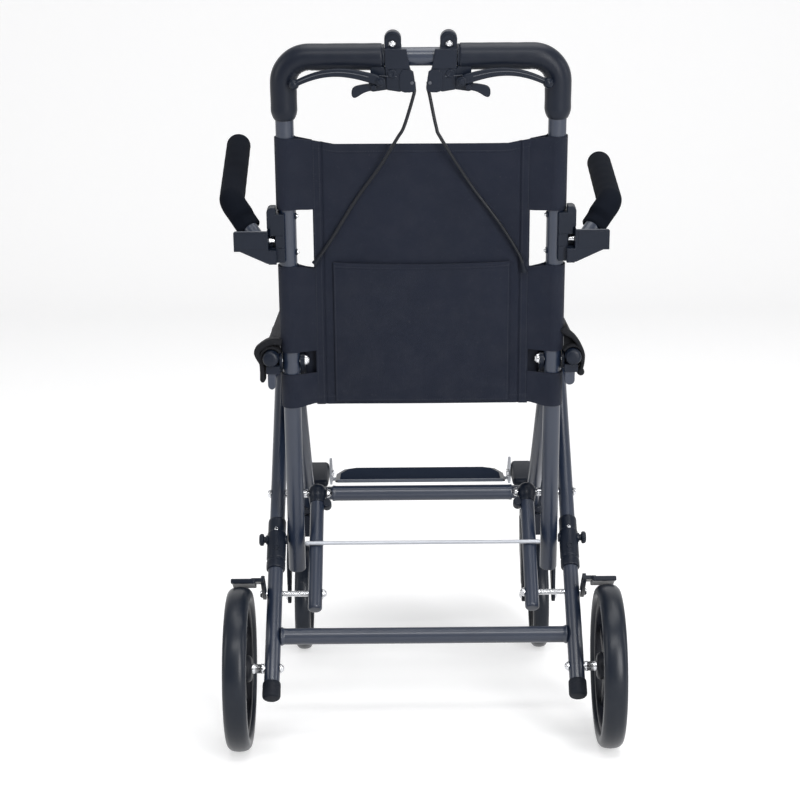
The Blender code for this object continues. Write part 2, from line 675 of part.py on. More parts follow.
def seat_cloth(seat):
    """Sling that sags between the two rails, from the lugs to the rails' front ends."""
    steps = 16
    mid_z = RAIL_Z - FOLD_Z
    back = SEAT_CLOTH_BACK_Y - FOLD_Y
    front = SEAT_CLOTH_FRONT_Y - FOLD_Y
    half = SEAT_CLOTH_THICK / 2
    edge = SEAT_RAIL_X - RAIL_R - CLEARANCE
    top_z = mid_z + 0.004
    section = []
    for x in np.linspace(-edge, edge, steps + 1):
        section.append((x, top_z - SEAT_SAG * (1 - (x / edge) ** 2)))
    slope = np.gradient([z for _, z in section], [x for x, _ in section])
    upper = [
        (x - half * s / math.hypot(1, s), z + half / math.hypot(1, s))
        for (x, z), s in zip(section, slope)
    ]
    lower = [
        (x + half * s / math.hypot(1, s), z - half / math.hypot(1, s))
        for (x, z), s in zip(section, slope)
    ]
    upper[0] = (-edge, upper[0][1])
    upper[-1] = (edge, upper[-1][1])
    lower[0] = (-edge, lower[0][1])
    lower[-1] = (edge, lower[-1][1])
    outline = upper + lower[::-1]
    rings = [[(x, y, z) for x, z in outline] for y in np.linspace(back, front, 6)]
    node("seat_cloth", loft(rings), seat, CLOTH)


def pivot_bolt(tag, side, seat):
    """The bolt that the cane and the front leg's tongue turn on."""
    y = BACK_PIVOT_Y - FOLD_Y
    z = BACK_PIVOT_Z - FOLD_Z
    out = SEAT_RAIL_X + RAIL_R + CLEARANCE
    tongue_in = TONGUE_X - CLEARANCE
    profile = [
        (out + HEAD_LENGTH, HEAD_R - 0.0015), (out + HEAD_LENGTH - 0.0015, HEAD_R), (out, HEAD_R),
        (out, BOLT_R), (tongue_in, BOLT_R), (tongue_in, HEAD_R),
        (tongue_in - PIVOT_NUT_LENGTH + 0.002, HEAD_R), (tongue_in - PIVOT_NUT_LENGTH, HEAD_R - 0.0025),
    ]
    node(f"seat_pivot_bolt_{tag}", across(profile, y, z), seat, STEEL, side)


def ribbon(path, width, thick):
    """A strap: path of (x, z) points in the rear view, wide along Y from y0."""
    path = np.array(path, float)
    ahead = np.gradient(path, axis=0)
    ahead /= np.linalg.norm(ahead, axis=1)[:, None]
    across_path = np.stack([-ahead[:, 1], ahead[:, 0]], axis=1) * thick / 2
    outline = [tuple(p) for p in path + across_path] + [tuple(p) for p in (path - across_path)[::-1]]
    return loft([[(x, y, z) for x, z in outline] for y in (-width / 2, width / 2)])


def belt(tag, side, seat, tail):
    """One half of the lap belt, folded over beside the rail with its end hanging."""
    out = SEAT_RAIL_X + RAIL_R
    z = RAIL_Z - FOLD_Z
    path = [
        (out + 0.0022, z + 0.002), (out + 0.0022, z + 0.012), (out - 0.004, z + 0.020),
        (out + 0.001, z + 0.0235), (out + 0.009, z + 0.020), (out + 0.0125, z + 0.012),
        (out + 0.011, z - 0.004), (out + 0.0095, z - tail),
    ]
    seat_belt = node(f"belt_{tag}", ribbon(path, BELT_WIDTH, BELT_THICK), seat, WEBBING, side)
    seat_belt.location = (0, RAIL_BACK_Y - FOLD_Y + 0.016, 0)


# Front frame
def front_leg(tag, side, line):
    """Leg tube whose head and tongue reach back to the pivot bolt; y runs down the leg."""
    stations = [
        FRONT_LEG_START, FRONT_LEG_START + 0.003, FRONT_LEG_START + FRONT_HEAD_LENGTH,
        FRONT_LEG_START + FRONT_HEAD_LENGTH, FRONT_LEG_END,
    ]
    radii = [FRONT_HEAD_R - 0.003, FRONT_HEAD_R, FRONT_HEAD_R, FRONT_LEG_R, FRONT_LEG_R]
    obj = node(f"front_leg_{tag}", rod([(FRONT_LEG_X, d, 0) for d in stations], radii), line, FRAME, side)
    half = TONGUE_HEIGHT / 2
    outline = arc((0, 0), half, math.pi / 2, 3 * math.pi / 2, 8) + [
        (FRONT_LEG_START + FRONT_HEAD_LENGTH * 0.8, -half * 0.8),
        (FRONT_LEG_START + FRONT_HEAD_LENGTH * 0.8, half * 0.8),
    ]
    combine(obj, slab(outline, TONGUE_X, TONGUE_X + TONGUE_THICK), "UNION", side)
    bolt_hole(obj, TONGUE_X - 0.01, TONGUE_X + 0.01, 0, 0, BOLT_R, side)


def front_crossbar(line):
    reach = FRONT_LEG_X - FRONT_LEG_R - CLEARANCE
    node(
        "front_crossbar", rod(
            [(-reach, FRONT_BAR_D, 0), (reach, FRONT_BAR_D, 0)], FRONT_BAR_R,
        ), line, FRAME,
    )


def caster_housing(tag, side, front):
    """Upright bearing tube for the caster stem, with the footplate's knuckle on its inner side."""
    y = SWIVEL_Y - BACK_PIVOT_Y
    low = HOUSING_BOTTOM_Z - BACK_PIVOT_Z
    high = HOUSING_TOP_Z - BACK_PIVOT_Z
    obj = node(
        f"caster_housing_{tag}",
        upright([(low, HOUSING_R), (high - 0.003, HOUSING_R), (high, HOUSING_R - 0.003)], CASTER_X, y),
        front, BLACK, side,
    )
    bottom = KNUCKLE_BOTTOM_Z - BACK_PIVOT_Z
    top = KNUCKLE_TOP_Z - BACK_PIVOT_Z
    pivot = (PLATE_PIVOT_Y - BACK_PIVOT_Y, PLATE_PIVOT_Z - BACK_PIVOT_Z)
    reach = (top - bottom) / 2
    outline = [(y + 0.004, bottom), (pivot[0], bottom)] + arc(
        (pivot[0], (top + bottom) / 2), reach, -math.pi / 2, math.pi / 2, 8,
    )[1:-1] + [(pivot[0], top), (y + 0.004, top)]
    combine(obj, slab(outline, KNUCKLE_X, CASTER_X - 0.004), "UNION", side)
    combine(
        obj, upright([(low - 0.002, STEM_R + CLEARANCE), (high - 0.008, STEM_R + CLEARANCE)], CASTER_X, y),
        "DIFFERENCE", side,
    )
    bolt_hole(obj, KNUCKLE_X - 0.002, KNUCKLE_X + 0.014, pivot[0], pivot[1], BOLT_R, side)


def footplate(front):
    """Plate, its side ears and pivot pins in one piece; its origin is on the flip axis."""
    axis = empty("footplate_axis", front, (0, PLATE_PIVOT_Y - BACK_PIVOT_Y, PLATE_PIVOT_Z - BACK_PIVOT_Z))
    near = PLATE_NEAR_Y - PLATE_PIVOT_Y
    far = PLATE_FAR_Y - PLATE_PIVOT_Y
    z = PLATE_Z - PLATE_PIVOT_Z
    c = PLATE_CHAMFER
    right = [
        (PLATE_NEAR_X, near), (PLATE_NEAR_X, far - 3 * c), (PLATE_FAR_X, far - c * 0.8),
        (PLATE_FAR_X - c, far),
    ]
    outline = right + [(-x, y) for x, y in right[::-1]]
    obj = node("footplate", sheet_slab(outline, z - PLATE_THICK / 2, z + PLATE_THICK / 2), axis, FRAME)
    ear_out = KNUCKLE_X - 2 * CLEARANCE
    ear_in = ear_out - PLATE_EAR_THICK
    top = PLATE_EAR_TOP_Z - PLATE_PIVOT_Z
    ear = [
        (-0.008, -0.006), (near + 0.004, z - PLATE_THICK / 2 + 0.001),
        (near + 0.060, z - PLATE_THICK / 2 + 0.001), (near + 0.060, z + PLATE_THICK / 2 - 0.001),
        (0.010, top - 0.003), (0.004, top), (-0.006, 0.008),
    ]
    for side in (1, -1):
        combine(obj, slab(ear, ear_in, ear_out), "UNION", side)
        lug = brick(
            PLATE_NEAR_X - 0.004, ear_in + 0.001, near + 0.006, near + 0.050, z - PLATE_THICK / 2 + 0.001,
            z + PLATE_THICK / 2 - 0.001,
        )
        combine(obj, lug, "UNION", side)
        pin = across(
            [
                (ear_in - HEAD_LENGTH, HEAD_R - 0.001), (ear_in + 0.001, HEAD_R), (ear_in + 0.001, BOLT_R),
                (KNUCKLE_X + 0.012, BOLT_R),
            ],
            0, 0,
        )
        combine(obj, pin, "UNION", side)


def caster(tag, side, front):
    """Swivelling fork with its stem and axle, and the wheel in it."""
    low = HOUSING_BOTTOM_Z - CLEARANCE * 2
    axle_z = CASTER_R
    swivel = empty(f"caster_swivel_{tag}", front, (side * CASTER_X, SWIVEL_Y - BACK_PIVOT_Y, -BACK_PIVOT_Z))
    crown_low = axle_z + CASTER_R + CROWN_OVER_WHEEL
    half = FORK_WIDTH / 2
    blade_x = half - BLADE_THICK
    tip = arc((-CASTER_TRAIL, axle_z), BLADE_END_R, math.pi * 0.92, math.pi * 1.97, 8)
    outline = [
        (0.017, low), (-0.017, low), (-CASTER_TRAIL - BLADE_END_R * 0.6, crown_low - 0.030),
    ] + tip + [(0.004, crown_low - 0.034), (0.017, crown_low)]
    obj = node(f"caster_fork_{tag}", slab(outline, -half, half), swivel, BLACK, side)
    combine(
        obj, slab([(-0.2, -0.05), (0.2, -0.05), (0.2, crown_low), (-0.2, crown_low)], -blade_x, blade_x),
        "DIFFERENCE", side,
    )
    combine(obj, upright([(low - 0.004, STEM_R), (HOUSING_TOP_Z - 0.010, STEM_R)], 0, 0, 12), "UNION", side)
    cap = half + 0.003
    combine(
        obj,
        across(
            [
                (-cap, 0.005), (-half + 0.0005, 0.006), (-half + 0.0005, CASTER_AXLE_R),
                (half - 0.0005, CASTER_AXLE_R), (half - 0.0005, 0.006), (cap, 0.005),
            ],
            -CASTER_TRAIL, axle_z,
        ),
        "UNION", side,
    )
    axis = empty(f"caster_axis_{tag}", swivel, (0, -CASTER_TRAIL, axle_z))
    depth = 0.016
    bore = CASTER_AXLE_R + CLEARANCE
    half = CASTER_HUB_WIDTH / 2
    wheel = node(
        f"caster_wheel_{tag}",
        ring_turned(tyre_profile(CASTER_WIDTH, CASTER_R, depth), 0, 0, 0, CASTER_SEGMENTS), axis, RUBBER,
        side,
    )
    rim = CASTER_R - depth + 0.002
    disc = ring_turned(
        [
            (-half, bore), (half, bore), (half, CASTER_HUB_R), (0.004, CASTER_HUB_R + 0.006),
            (CASTER_WIDTH * 0.24, rim), (-CASTER_WIDTH * 0.24, rim), (-0.004, CASTER_HUB_R + 0.006),
            (-half, CASTER_HUB_R),
        ],
        0, 0, 0, CASTER_SEGMENTS,
    )
    combine(wheel, disc, "UNION", side)


# Back frame
def push_handle(back):
    """Both canes and the push bar as one bent tube; z runs up the canes."""
    corner = CANE_X - HANDLE_CORNER_R
    bend = arc((corner, HANDLE_W - HANDLE_CORNER_R), HANDLE_CORNER_R, 0, math.pi / 2, 7)
    right = [(CANE_X, 0, CANE_BOTTOM_W), (CANE_X, 0, CANE_BOTTOM_W + 0.002)] + [(x, 0, w) for x, w in bend]
    path = right + [(-x, y, w) for x, y, w in right[::-1]]
    radii = [CANE_R - 0.002] + [CANE_R] * (len(path) - 2) + [CANE_R - 0.002]
    obj = node("push_handle_frame", rod(path, radii), back, FRAME)
    for side in (1, -1):
        bolt_hole(obj, CANE_X - 2 * CANE_R, CANE_X + 2 * CANE_R, 0, 0, BOLT_R, side)


def handle_grip(tag, side, back):
    corner = CANE_X - HANDLE_CORNER_R
    bend = arc((corner, HANDLE_W - HANDLE_CORNER_R), HANDLE_CORNER_R, 0, math.pi / 2, 7)
    path = [(CANE_X, 0, GRIP_END_W)] + [(x, 0, w) for x, w in bend] + [(GRIP_INNER_X, 0, HANDLE_W)]
    node(f"handle_grip_{tag}", sleeve(path, GRIP_R, CANE_R + CLEARANCE, TUBE_SIDES), back, FOAM, side)


def back_cloth(back):
    """Sling round both canes with seams beside them, two openings a side, and the rear pocket."""
    bore = CANE_R + CLEARANCE
    wrap = bore + SLEEVE_WALL
    lean = math.acos((wrap - CLOTH_HALF_THICK) / (CANE_X - CLOTH_SEAM_X))
    round_cane = arc((CANE_X, 0), wrap, -math.pi + lean, math.pi - lean, 14)
    outline = [(CLOTH_SEAM_X, -CLOTH_HALF_THICK)] + round_cane + [(CLOTH_SEAM_X, CLOTH_HALF_THICK)]
    outline = outline + [(-x, y) for x, y in outline[::-1]]
    obj = node("back_cloth", sheet_slab(outline, CLOTH_BOTTOM_W, CLOTH_TOP_W), back, CLOTH)
    for side in (1, -1):
        combine(
            obj, upright([(CLOTH_BOTTOM_W - 0.01, bore), (CLOTH_TOP_W + 0.01, bore)], CANE_X, 0),
            "DIFFERENCE", side,
        )
        for low, high in ((SIDE_NOTCH_BOTTOM_W, SIDE_NOTCH_TOP_W), (LOW_NOTCH_BOTTOM_W, LOW_NOTCH_TOP_W)):
            combine(obj, brick(NOTCH_INNER_X, 0.25, -0.05, 0.05, low, high), "DIFFERENCE", side)
        relief = brick(NOTCH_INNER_X, CANE_X - CANE_R, RELIEF_BACK_N, 0.05, RELIEF_BOTTOM_W, RELIEF_TOP_W)
        combine(obj, relief, "DIFFERENCE", side)
    pocket = brick(
        -POCKET_X, POCKET_X, -CLOTH_HALF_THICK - POCKET_THICK, -CLOTH_HALF_THICK + 0.0005, POCKET_BOTTOM_W,
        POCKET_TOP_W,
    )
    combine(obj, pocket, "UNION")


def armrest_bracket(tag, side, back):
    """Channel clamped on the cane's outer side, and the open clevis that carries the armrest."""
    bore = CANE_R + CLEARANCE
    low = ARM_PIVOT_W - CHANNEL_BELOW_PIVOT
    high = ARM_PIVOT_W + CHANNEL_ABOVE_PIVOT
    heel = ARM_PIVOT_W - CLEVIS_BELOW_PIVOT
    top = ARM_PIVOT_W + CLEVIS_ABOVE_PIVOT
    obj = node(
        f"armrest_bracket_{tag}",
        brick(CLAMP_INNER_X, CLAMP_OUTER_X, CHANNEL_BACK_N, bore + 0.002, low, high), back, BLACK, side,
    )
    cheek = brick(
        CLAMP_OUTER_X - CHEEK_THICK, CLAMP_OUTER_X - 0.0004, CHANNEL_BACK_N + 0.0004, 0.002, high - 0.010,
        ARM_PIVOT_W + CHEEK_ABOVE_PIVOT,
    )
    combine(obj, cheek, "UNION", side)
    combine(obj, upright([(low - 0.01, bore), (high + 0.02, bore)], CANE_X, 0), "DIFFERENCE", side)
    outline = [
        (CLAMP_OUTER_X - 0.002, heel - CLEVIS_HEEL + 0.001), (CLAMP_OUTER_X + 0.002, heel - CLEVIS_HEEL + 0.001),
        (CLEVIS_OUTER_X - 0.0065, heel), (CLEVIS_OUTER_X, heel), (CLEVIS_OUTER_X, top),
        (CLAMP_OUTER_X - 0.002, top),
    ]
    block = loft([[(x, n, w) for x, w in outline] for n in (CLEVIS_BACK_N, CLEVIS_FRONT_N)])
    combine(obj, block, "UNION", side)
    slot = brick(
        CLAMP_OUTER_X + CLEVIS_INNER_WALL, CLEVIS_OUTER_X - CLEVIS_WALL, CLEVIS_BACK_N + CLEVIS_REAR_WALL,
        0.05, heel + CLEVIS_FLOOR, high + 0.1,
    )
    combine(obj, slot, "DIFFERENCE", side)
    step = brick(
        CLEVIS_OUTER_X - CLEVIS_WALL - 0.001, CLEVIS_OUTER_X + 0.01, CLEVIS_BACK_N + CLEVIS_REAR_WALL, 0.05,
        ARM_PIVOT_W + CLEVIS_SIDE_ABOVE_PIVOT, high + 0.1,
    )
    combine(obj, step, "DIFFERENCE", side)
    pin = across(
        [(CLAMP_OUTER_X - 0.001, BOLT_R), (CLEVIS_OUTER_X - CLEVIS_WALL + 0.001, BOLT_R)], 0, ARM_PIVOT_W,
    )
    combine(obj, pin, "UNION", side)


def arm_direction():
    return Vector((ARM_BEND_X - ARM_X, ARM_BEND_N, ARM_BEND_UP)).normalized()


def armrest(tag, side, back):
    """Bent armrest tube and its foam pad; the origin is on the flip axis."""
    lift = ARM_LEFT_LIFT if side < 0 else -ARM_LEFT_LIFT
    axis = empty(f"armrest_axis_{tag}", back, (side * ARM_X, 0, ARM_PIVOT_W), lift)
    bend = Vector((ARM_BEND_X - ARM_X, ARM_BEND_N, ARM_BEND_UP))
    tip = Vector((ARM_TIP_X - ARM_X, ARM_TIP_N, ARM_TIP_UP))
    out = arm_direction()
    along = (tip - bend).normalized()
    steps = 6
    turn = out.angle(along)
    cut = ARM_CORNER_R * math.tan(turn / 2)
    start = bend - out * cut
    end = bend + along * cut
    inward = ((along - out).normalized())
    centre = bend + inward * ARM_CORNER_R / math.cos(turn / 2)
    axle = out.cross(along).normalized()
    corner = [
        centre + Matrix.Rotation(turn * k / steps, 3, axle) @ (start - centre)
        for k in range(steps + 1)
    ]
    grip_start = start - out * ARM_PAD_BACK
    wall = [start - out * ARM_PAD_BACK * 0.9] + corner + [tip - along * ARM_TUBE_SHORT]
    slot_in = CLAMP_OUTER_X + CLEVIS_INNER_WALL
    slot_out = CLEVIS_OUTER_X - CLEVIS_WALL
    eye_half = (slot_out - slot_in) / 2 - RUNNING_GAP
    eye_mid = (slot_out + slot_in) / 2 - ARM_X
    tube = node(
        f"armrest_tube_{tag}", rod([out * ARM_EYE_R * 0.4] + wall, ARM_TUBE_R, 14), axis, FRAME, side,
    )
    combine(
        tube, across([(eye_mid - eye_half, ARM_EYE_R), (eye_mid + eye_half, ARM_EYE_R)], 0, 0, 16), "UNION",
        side,
    )
    bolt_hole(tube, eye_mid - 2 * eye_half, eye_mid + 2 * eye_half, 0, 0, BOLT_R, side)
    bore = ARM_TUBE_R + CLEARANCE
    hollow = [grip_start] + corner + [tip - along * ARM_TUBE_SHORT * 0.8]
    inside = path_rings(hollow, [bore] * (steps + 3), 14)
    dome = [(0.0, 1.0), (0.44, 0.94), (0.78, 0.75), (1.0, 0.40)]
    skin = [grip_start] + corner + [tip + along * ARM_PAD_DOME * d for d, _ in dome]
    radii = [ARM_PAD_R * 0.94] + [ARM_PAD_R] * (steps + 1) + [ARM_PAD_R * r for _, r in dome]
    outside = path_rings(skin, radii, 14)
    node(f"armrest_pad_{tag}", loft(inside[::-1] + outside), axis, FOAM, side)


def brake_clamp(tag, side, back):
    """Collar round the push bar with its screw dome above and the lever body below."""
    bore = CANE_R + CLEARANCE
    wrap = bore + CLAMP_WALL
    low = CLAMP_X - CLAMP_WIDTH / 2
    high = CLAMP_X + CLAMP_WIDTH / 2
    obj = node(
        f"brake_clamp_{tag}", sleeve([(low, 0, HANDLE_W), (high, 0, HANDLE_W)], wrap, bore), back, BLACK,
        side,
    )
    half = CLAMP_WIDTH / 2
    dome = [(low, HANDLE_W + bore + 0.001)] + [
        (CLAMP_X - half * math.cos(t), HANDLE_W + DOME_HEIGHT - half + half * math.sin(t))
        for t in np.linspace(0, math.pi, 9)
    ] + [(high, HANDLE_W + bore + 0.001)]
    combine(obj, loft([[(x, n, w) for x, w in dome] for n in (-0.008, 0.006)]), "UNION", side)
    body = [
        (low - 0.006, HANDLE_W - bore - 0.001),
        (low - 0.008, LEVER_PIVOT_W - 0.005),
        (low + 0.002, LEVER_PIVOT_W - 0.0148),
        (LEVER_PIVOT_X - 0.007, LEVER_PIVOT_W - 0.0125),
        (LEVER_PIVOT_X - 0.007, HANDLE_W - bore - 0.004),
        (high, HANDLE_W - bore - 0.001),
    ]
    combine(obj, loft([[(x, n, w) for x, w in body] for n in (-0.013, 0.001)]), "UNION", side)
    tab = [
        (LEVER_PIVOT_X - 0.012, LEVER_PIVOT_W - 0.011),
        (CATCH_PIVOT_X + 0.006, CATCH_PIVOT_W - 0.006),
        (CATCH_PIVOT_X + 0.006, CATCH_PIVOT_W + 0.006),
        (LEVER_PIVOT_X + 0.004, LEVER_PIVOT_W + 0.009),
        (LEVER_PIVOT_X - 0.012, LEVER_PIVOT_W + 0.009),
    ]
    combine(obj, loft([[(x, n, w) for x, w in tab] for n in (-0.0125, -0.0045)]), "UNION", side)
    for x, w in ((LEVER_PIVOT_X, LEVER_PIVOT_W), (CATCH_PIVOT_X, CATCH_PIVOT_W)):
        pin = rod([(x, -0.010, w), (x, LEVER_PIVOT_N - LEVER_THICK / 2 - 0.002, w)], BOLT_R * 0.8, 10)
        combine(obj, pin, "UNION", side)
    adjuster_top = (low - 0.005, CABLE_START_N, ADJUSTER_END_W + ADJUSTER_LENGTH)
    adjuster = [adjuster_top, (CABLE_START_X, CABLE_START_N, ADJUSTER_END_W)]
    combine(obj, rod(adjuster, 0.0034, 10), "UNION", side)


def brake_lever(tag, side, back):
    """Flat lever that reaches out under the grip to its ball end; its origin is on its pivot."""
    axis = empty(f"brake_lever_axis_{tag}", back, (side * LEVER_PIVOT_X, LEVER_PIVOT_N, LEVER_PIVOT_W))
    span = LEVER_TIP_X - LEVER_PIVOT_X
    stations = np.linspace(0, 1, 9)
    middle = [
        (span * t, LEVER_ARCH * math.sin(math.pi * min(t * 0.85 + 0.02, 1)) + LEVER_TIP_RISE * t ** 3)
        for t in stations
    ]
    middle = np.array(middle)
    ahead = np.gradient(middle, axis=0)
    ahead /= np.linalg.norm(ahead, axis=1)[:, None]
    wide = np.stack([-ahead[:, 1], ahead[:, 0]], axis=1) * np.linspace(0.0065, 0.0036, 9)[:, None]
    outline = [tuple(p) for p in middle + wide] + [tuple(p) for p in (middle - wide)[::-1]]
    half = LEVER_THICK / 2
    blade = loft([[(x, n, w) for x, w in outline] for n in (-half, half)])
    lever = node(f"brake_lever_{tag}", blade, axis, BLACK, side)
    x, w = middle[-1]
    combine(
        lever,
        rod(
            [(x + LEVER_BALL_R * a, 0, w - LEVER_BALL_R * a * 0.6) for a in (-1.0, -0.6, 0.0, 0.6, 1.0)],
            [LEVER_BALL_R * r for r in (0.3, 0.85, 1.0, 0.8, 0.3)], 10,
        ),
        "UNION", side,
    )
    hole = rod([(0, -0.01, 0), (0, 0.01, 0)], BOLT_R * 0.8 + CLEARANCE, 10)
    combine(lever, hole, "DIFFERENCE", side)


def parking_catch(tag, side, back):
    """Small catch below the lever that holds it squeezed; its origin is on its pivot."""
    axis = empty(f"parking_catch_axis_{tag}", back, (side * CATCH_PIVOT_X, CATCH_N, CATCH_PIVOT_W))
    outline = [
        (-0.004, -0.004), (0.010, -0.0055), (CATCH_REACH * 0.85, -0.0145), (CATCH_REACH, -0.010),
        (CATCH_REACH * 0.95, 0.000), (0.014, 0.003), (-0.003, 0.0045),
    ]
    half = CATCH_THICK / 2
    catch = node(
        f"parking_catch_{tag}", loft([[(x, n, w) for x, w in outline] for n in (-half, half)]), axis, BLACK,
        side,
    )
    combine(catch, rod([(0, -0.01, 0), (0, 0.01, 0)], BOLT_R * 0.8 + CLEARANCE, 10), "DIFFERENCE", side)


def smooth_path(route, spacing):
    """Points at even steps along a smooth curve through the route's points."""
    route = np.array(route, float)
    padded = np.vstack([2 * route[0] - route[1], route, 2 * route[-1] - route[-2]])
    dense = []
    for p0, p1, p2, p3 in zip(padded, padded[1:], padded[2:], padded[3:]):
        for t in np.linspace(0, 1, 24, endpoint=False):
            dense.append(
                0.5 * (
                    2 * p1 + (p2 - p0) * t + (
                        2 * p0 - 5 * p1 + 4 * p2 - p3
                    ) * t ** 2 + (3 * p1 - p0 - 3 * p2 + p3) * t ** 3
                )
            )
    dense = np.array(dense + [route[-1]])
    run = np.concatenate([[0], np.cumsum(np.linalg.norm(np.diff(dense, axis=0), axis=1))])
    count = max(8, round(run[-1] / spacing))
    even = np.linspace(0, run[-1], count + 1)
    return np.stack([np.interp(even, run, dense[:, k]) for k in range(3)], axis=1)


def brake_cable(tag, route, back):
    """Brake cable's casing from the lever body down to the seam where it enters the cloth."""
    points = smooth_path(route, CABLE_R * 6)
    curve = bpy.data.curves.new(f"brake_cable_{tag}", "CURVE")
    curve.dimensions = "3D"
    spline = curve.splines.new("POLY")
    spline.points.add(len(points) - 1)
    for slot, (x, n, w) in zip(spline.points, points):
        slot.co = (x, n, w, 1)
    curve.bevel_depth = CABLE_R
    curve.bevel_resolution = 2
    curve.use_fill_caps = True
    obj = bpy.data.objects.new(f"brake_cable_{tag}", curve)
    bpy.context.scene.collection.objects.link(obj)
    obj.parent = back
    paint(obj, BLACK)


def build():
    for old in list(bpy.data.objects):
        bpy.data.objects.remove(old)
    chair = empty("chair", None, (0, -MID_Y, 0))
    rear_line = empty("rear_leg_line", chair, (0, REAR_LEG_FOOT_Y, REAR_LEG_FOOT_Z), REAR_LEG_ANGLE)
    seat = empty("seat_frame_axis", chair, (0, FOLD_Y, FOLD_Z))
    front = empty("front_frame_axis", chair, (0, BACK_PIVOT_Y, BACK_PIVOT_Z))
    front_line = empty("front_leg_line", front, (0, 0, 0), -FRONT_LEG_ANGLE)
    back = empty("back_frame_axis", chair, (0, BACK_PIVOT_Y, BACK_PIVOT_Z), BACK_RECLINE)
    rear_crossbar(rear_line)
    guide_crossbar(rear_line)
    tie_rod(rear_line)
    seat_cloth(seat)
    front_crossbar(front_line)
    footplate(front)
    push_handle(back)
    back_cloth(back)
    for tag, side in (("l", -1), ("r", 1)):
        rear_leg(tag, side, rear_line)
        guide_tube(tag, side, rear_line)
        guide_bolts(tag, side, rear_line)
        lock_bracket(tag, side, rear_line)
        lock_knob(tag, side, rear_line)
        rear_axle(tag, side, rear_line)
        rear_wheel(tag, side, chair)
        brake_shoe(tag, side, chair)
        seat_rail(tag, side, seat)
        seat_lug(tag, side, seat)
        pivot_bolt(tag, side, seat)
        belt(tag, side, seat, 0.038)
        front_leg(tag, side, front_line)
        caster_housing(tag, side, front)
        caster(tag, side, front)
        handle_grip(tag, side, back)
        armrest_bracket(tag, side, back)
        armrest(tag, side, back)
        brake_clamp(tag, side, back)
        brake_lever(tag, side, back)
        parking_catch(tag, side, back)
    inside = POCKET_THICK + CLOTH_HALF_THICK + CABLE_R + 0.0006
    for tag, side, route in (
        (
            "l", -1,
            [
                CABLE_START, (0.0080, -0.0085, 0.3470), (0.0088, -0.010, 0.3385), (0.0204, CABLE_N, 0.3025),
                (0.0289, -0.018, 0.288), (0.0510, -0.012, 0.2504), (0.0791, -inside, 0.2104),
                (0.110, -inside, 0.160), (0.1306, -inside, 0.1298),
            ],
        ),
        (
            "r", 1,
            [
                CABLE_START, (0.0082, -0.0085, 0.3470), (0.0103, -0.010, 0.3385), (0.0178, CABLE_N, 0.3023),
                (0.0238, -0.018, 0.2876), (0.0588, -inside, 0.2294), (0.0955, -inside, 0.1790),
                (0.1200, -inside, 0.139), (0.1262, -inside, 0.1180),
            ],
        ),
    ):
        brake_cable(tag, [(side * x, n, w) for x, n, w in route], back)


build()
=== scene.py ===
import math

import bmesh
import bpy
import numpy as np
from mathutils import Matrix


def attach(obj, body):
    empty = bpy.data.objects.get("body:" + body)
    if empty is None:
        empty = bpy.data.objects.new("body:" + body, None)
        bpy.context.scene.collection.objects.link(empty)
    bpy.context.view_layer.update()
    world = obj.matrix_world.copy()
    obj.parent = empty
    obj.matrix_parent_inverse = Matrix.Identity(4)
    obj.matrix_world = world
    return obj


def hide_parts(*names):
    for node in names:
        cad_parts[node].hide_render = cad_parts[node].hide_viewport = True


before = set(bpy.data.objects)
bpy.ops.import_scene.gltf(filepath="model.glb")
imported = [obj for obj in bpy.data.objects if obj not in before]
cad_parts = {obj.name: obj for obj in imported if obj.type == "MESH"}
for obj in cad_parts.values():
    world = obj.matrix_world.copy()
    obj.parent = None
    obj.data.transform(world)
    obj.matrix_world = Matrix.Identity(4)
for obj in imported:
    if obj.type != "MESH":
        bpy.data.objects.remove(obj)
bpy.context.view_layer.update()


# Studio. One pale sheet lies under the chair, curves up behind it and ends as a white
# wall. Large soft lamps stand behind the camera, at both sides and overhead.
PAPER_DROP = 0.0004


def sweep(half, near, far, bend, height):
    """Floor to y = far, then a quarter circle of radius bend, then a wall; straight across X."""
    turn = np.linspace(0, math.pi / 2, 17)
    y = np.concatenate([[near], far + bend * np.sin(turn), [far + bend]])
    z = np.concatenate([[0], bend - bend * np.cos(turn), [height]]) - PAPER_DROP
    edge = np.stack([np.zeros_like(y), y, z], -1)
    return np.stack([edge + (-half, 0, 0), edge + (half, 0, 0)], 1)


def node(tree, kind, values=(), **settings):
    """One shader node with its settings, and its inputs linked or set by name or number."""
    made = tree.nodes.new("ShaderNode" + kind)
    for key, value in settings.items():
        setattr(made, key, value)
    for key, value in dict(values).items():
        if isinstance(value, bpy.types.NodeSocket):
            tree.links.new(value, made.inputs[key])
        else:
            made.inputs[key].default_value = value
    return made


def reckoned(tree, operation, first, second):
    """The result of one Math node."""
    return node(tree, "Math", {0: first, 1: second}, operation=operation).outputs[0]


def studio_paper():
    """Plain diffuse paper; what the camera and the gloss of the metal see of it is lifted to white."""
    material = bpy.data.materials.new("studio_paper")
    material.use_nodes = True
    tree = material.node_tree
    tree.nodes.clear()
    diffuse = node(tree, "BsdfDiffuse", {"Color": (0.62, 0.62, 0.625, 1)})
    rays = node(tree, "LightPath").outputs
    seen = reckoned(tree, "MAXIMUM", rays["Is Camera Ray"], rays["Is Glossy Ray"])
    clear = reckoned(tree, "MAXIMUM", seen, rays["Is Transmission Ray"])
    level = reckoned(tree, "MULTIPLY", clear, 0.50)
    white = node(tree, "Emission", {"Color": (1, 1, 1, 1), "Strength": level})
    whole = node(tree, "AddShader", {0: diffuse.outputs[0], 1: white.outputs[0]})
    node(tree, "OutputMaterial", {"Surface": whole.outputs[0]})
    return material


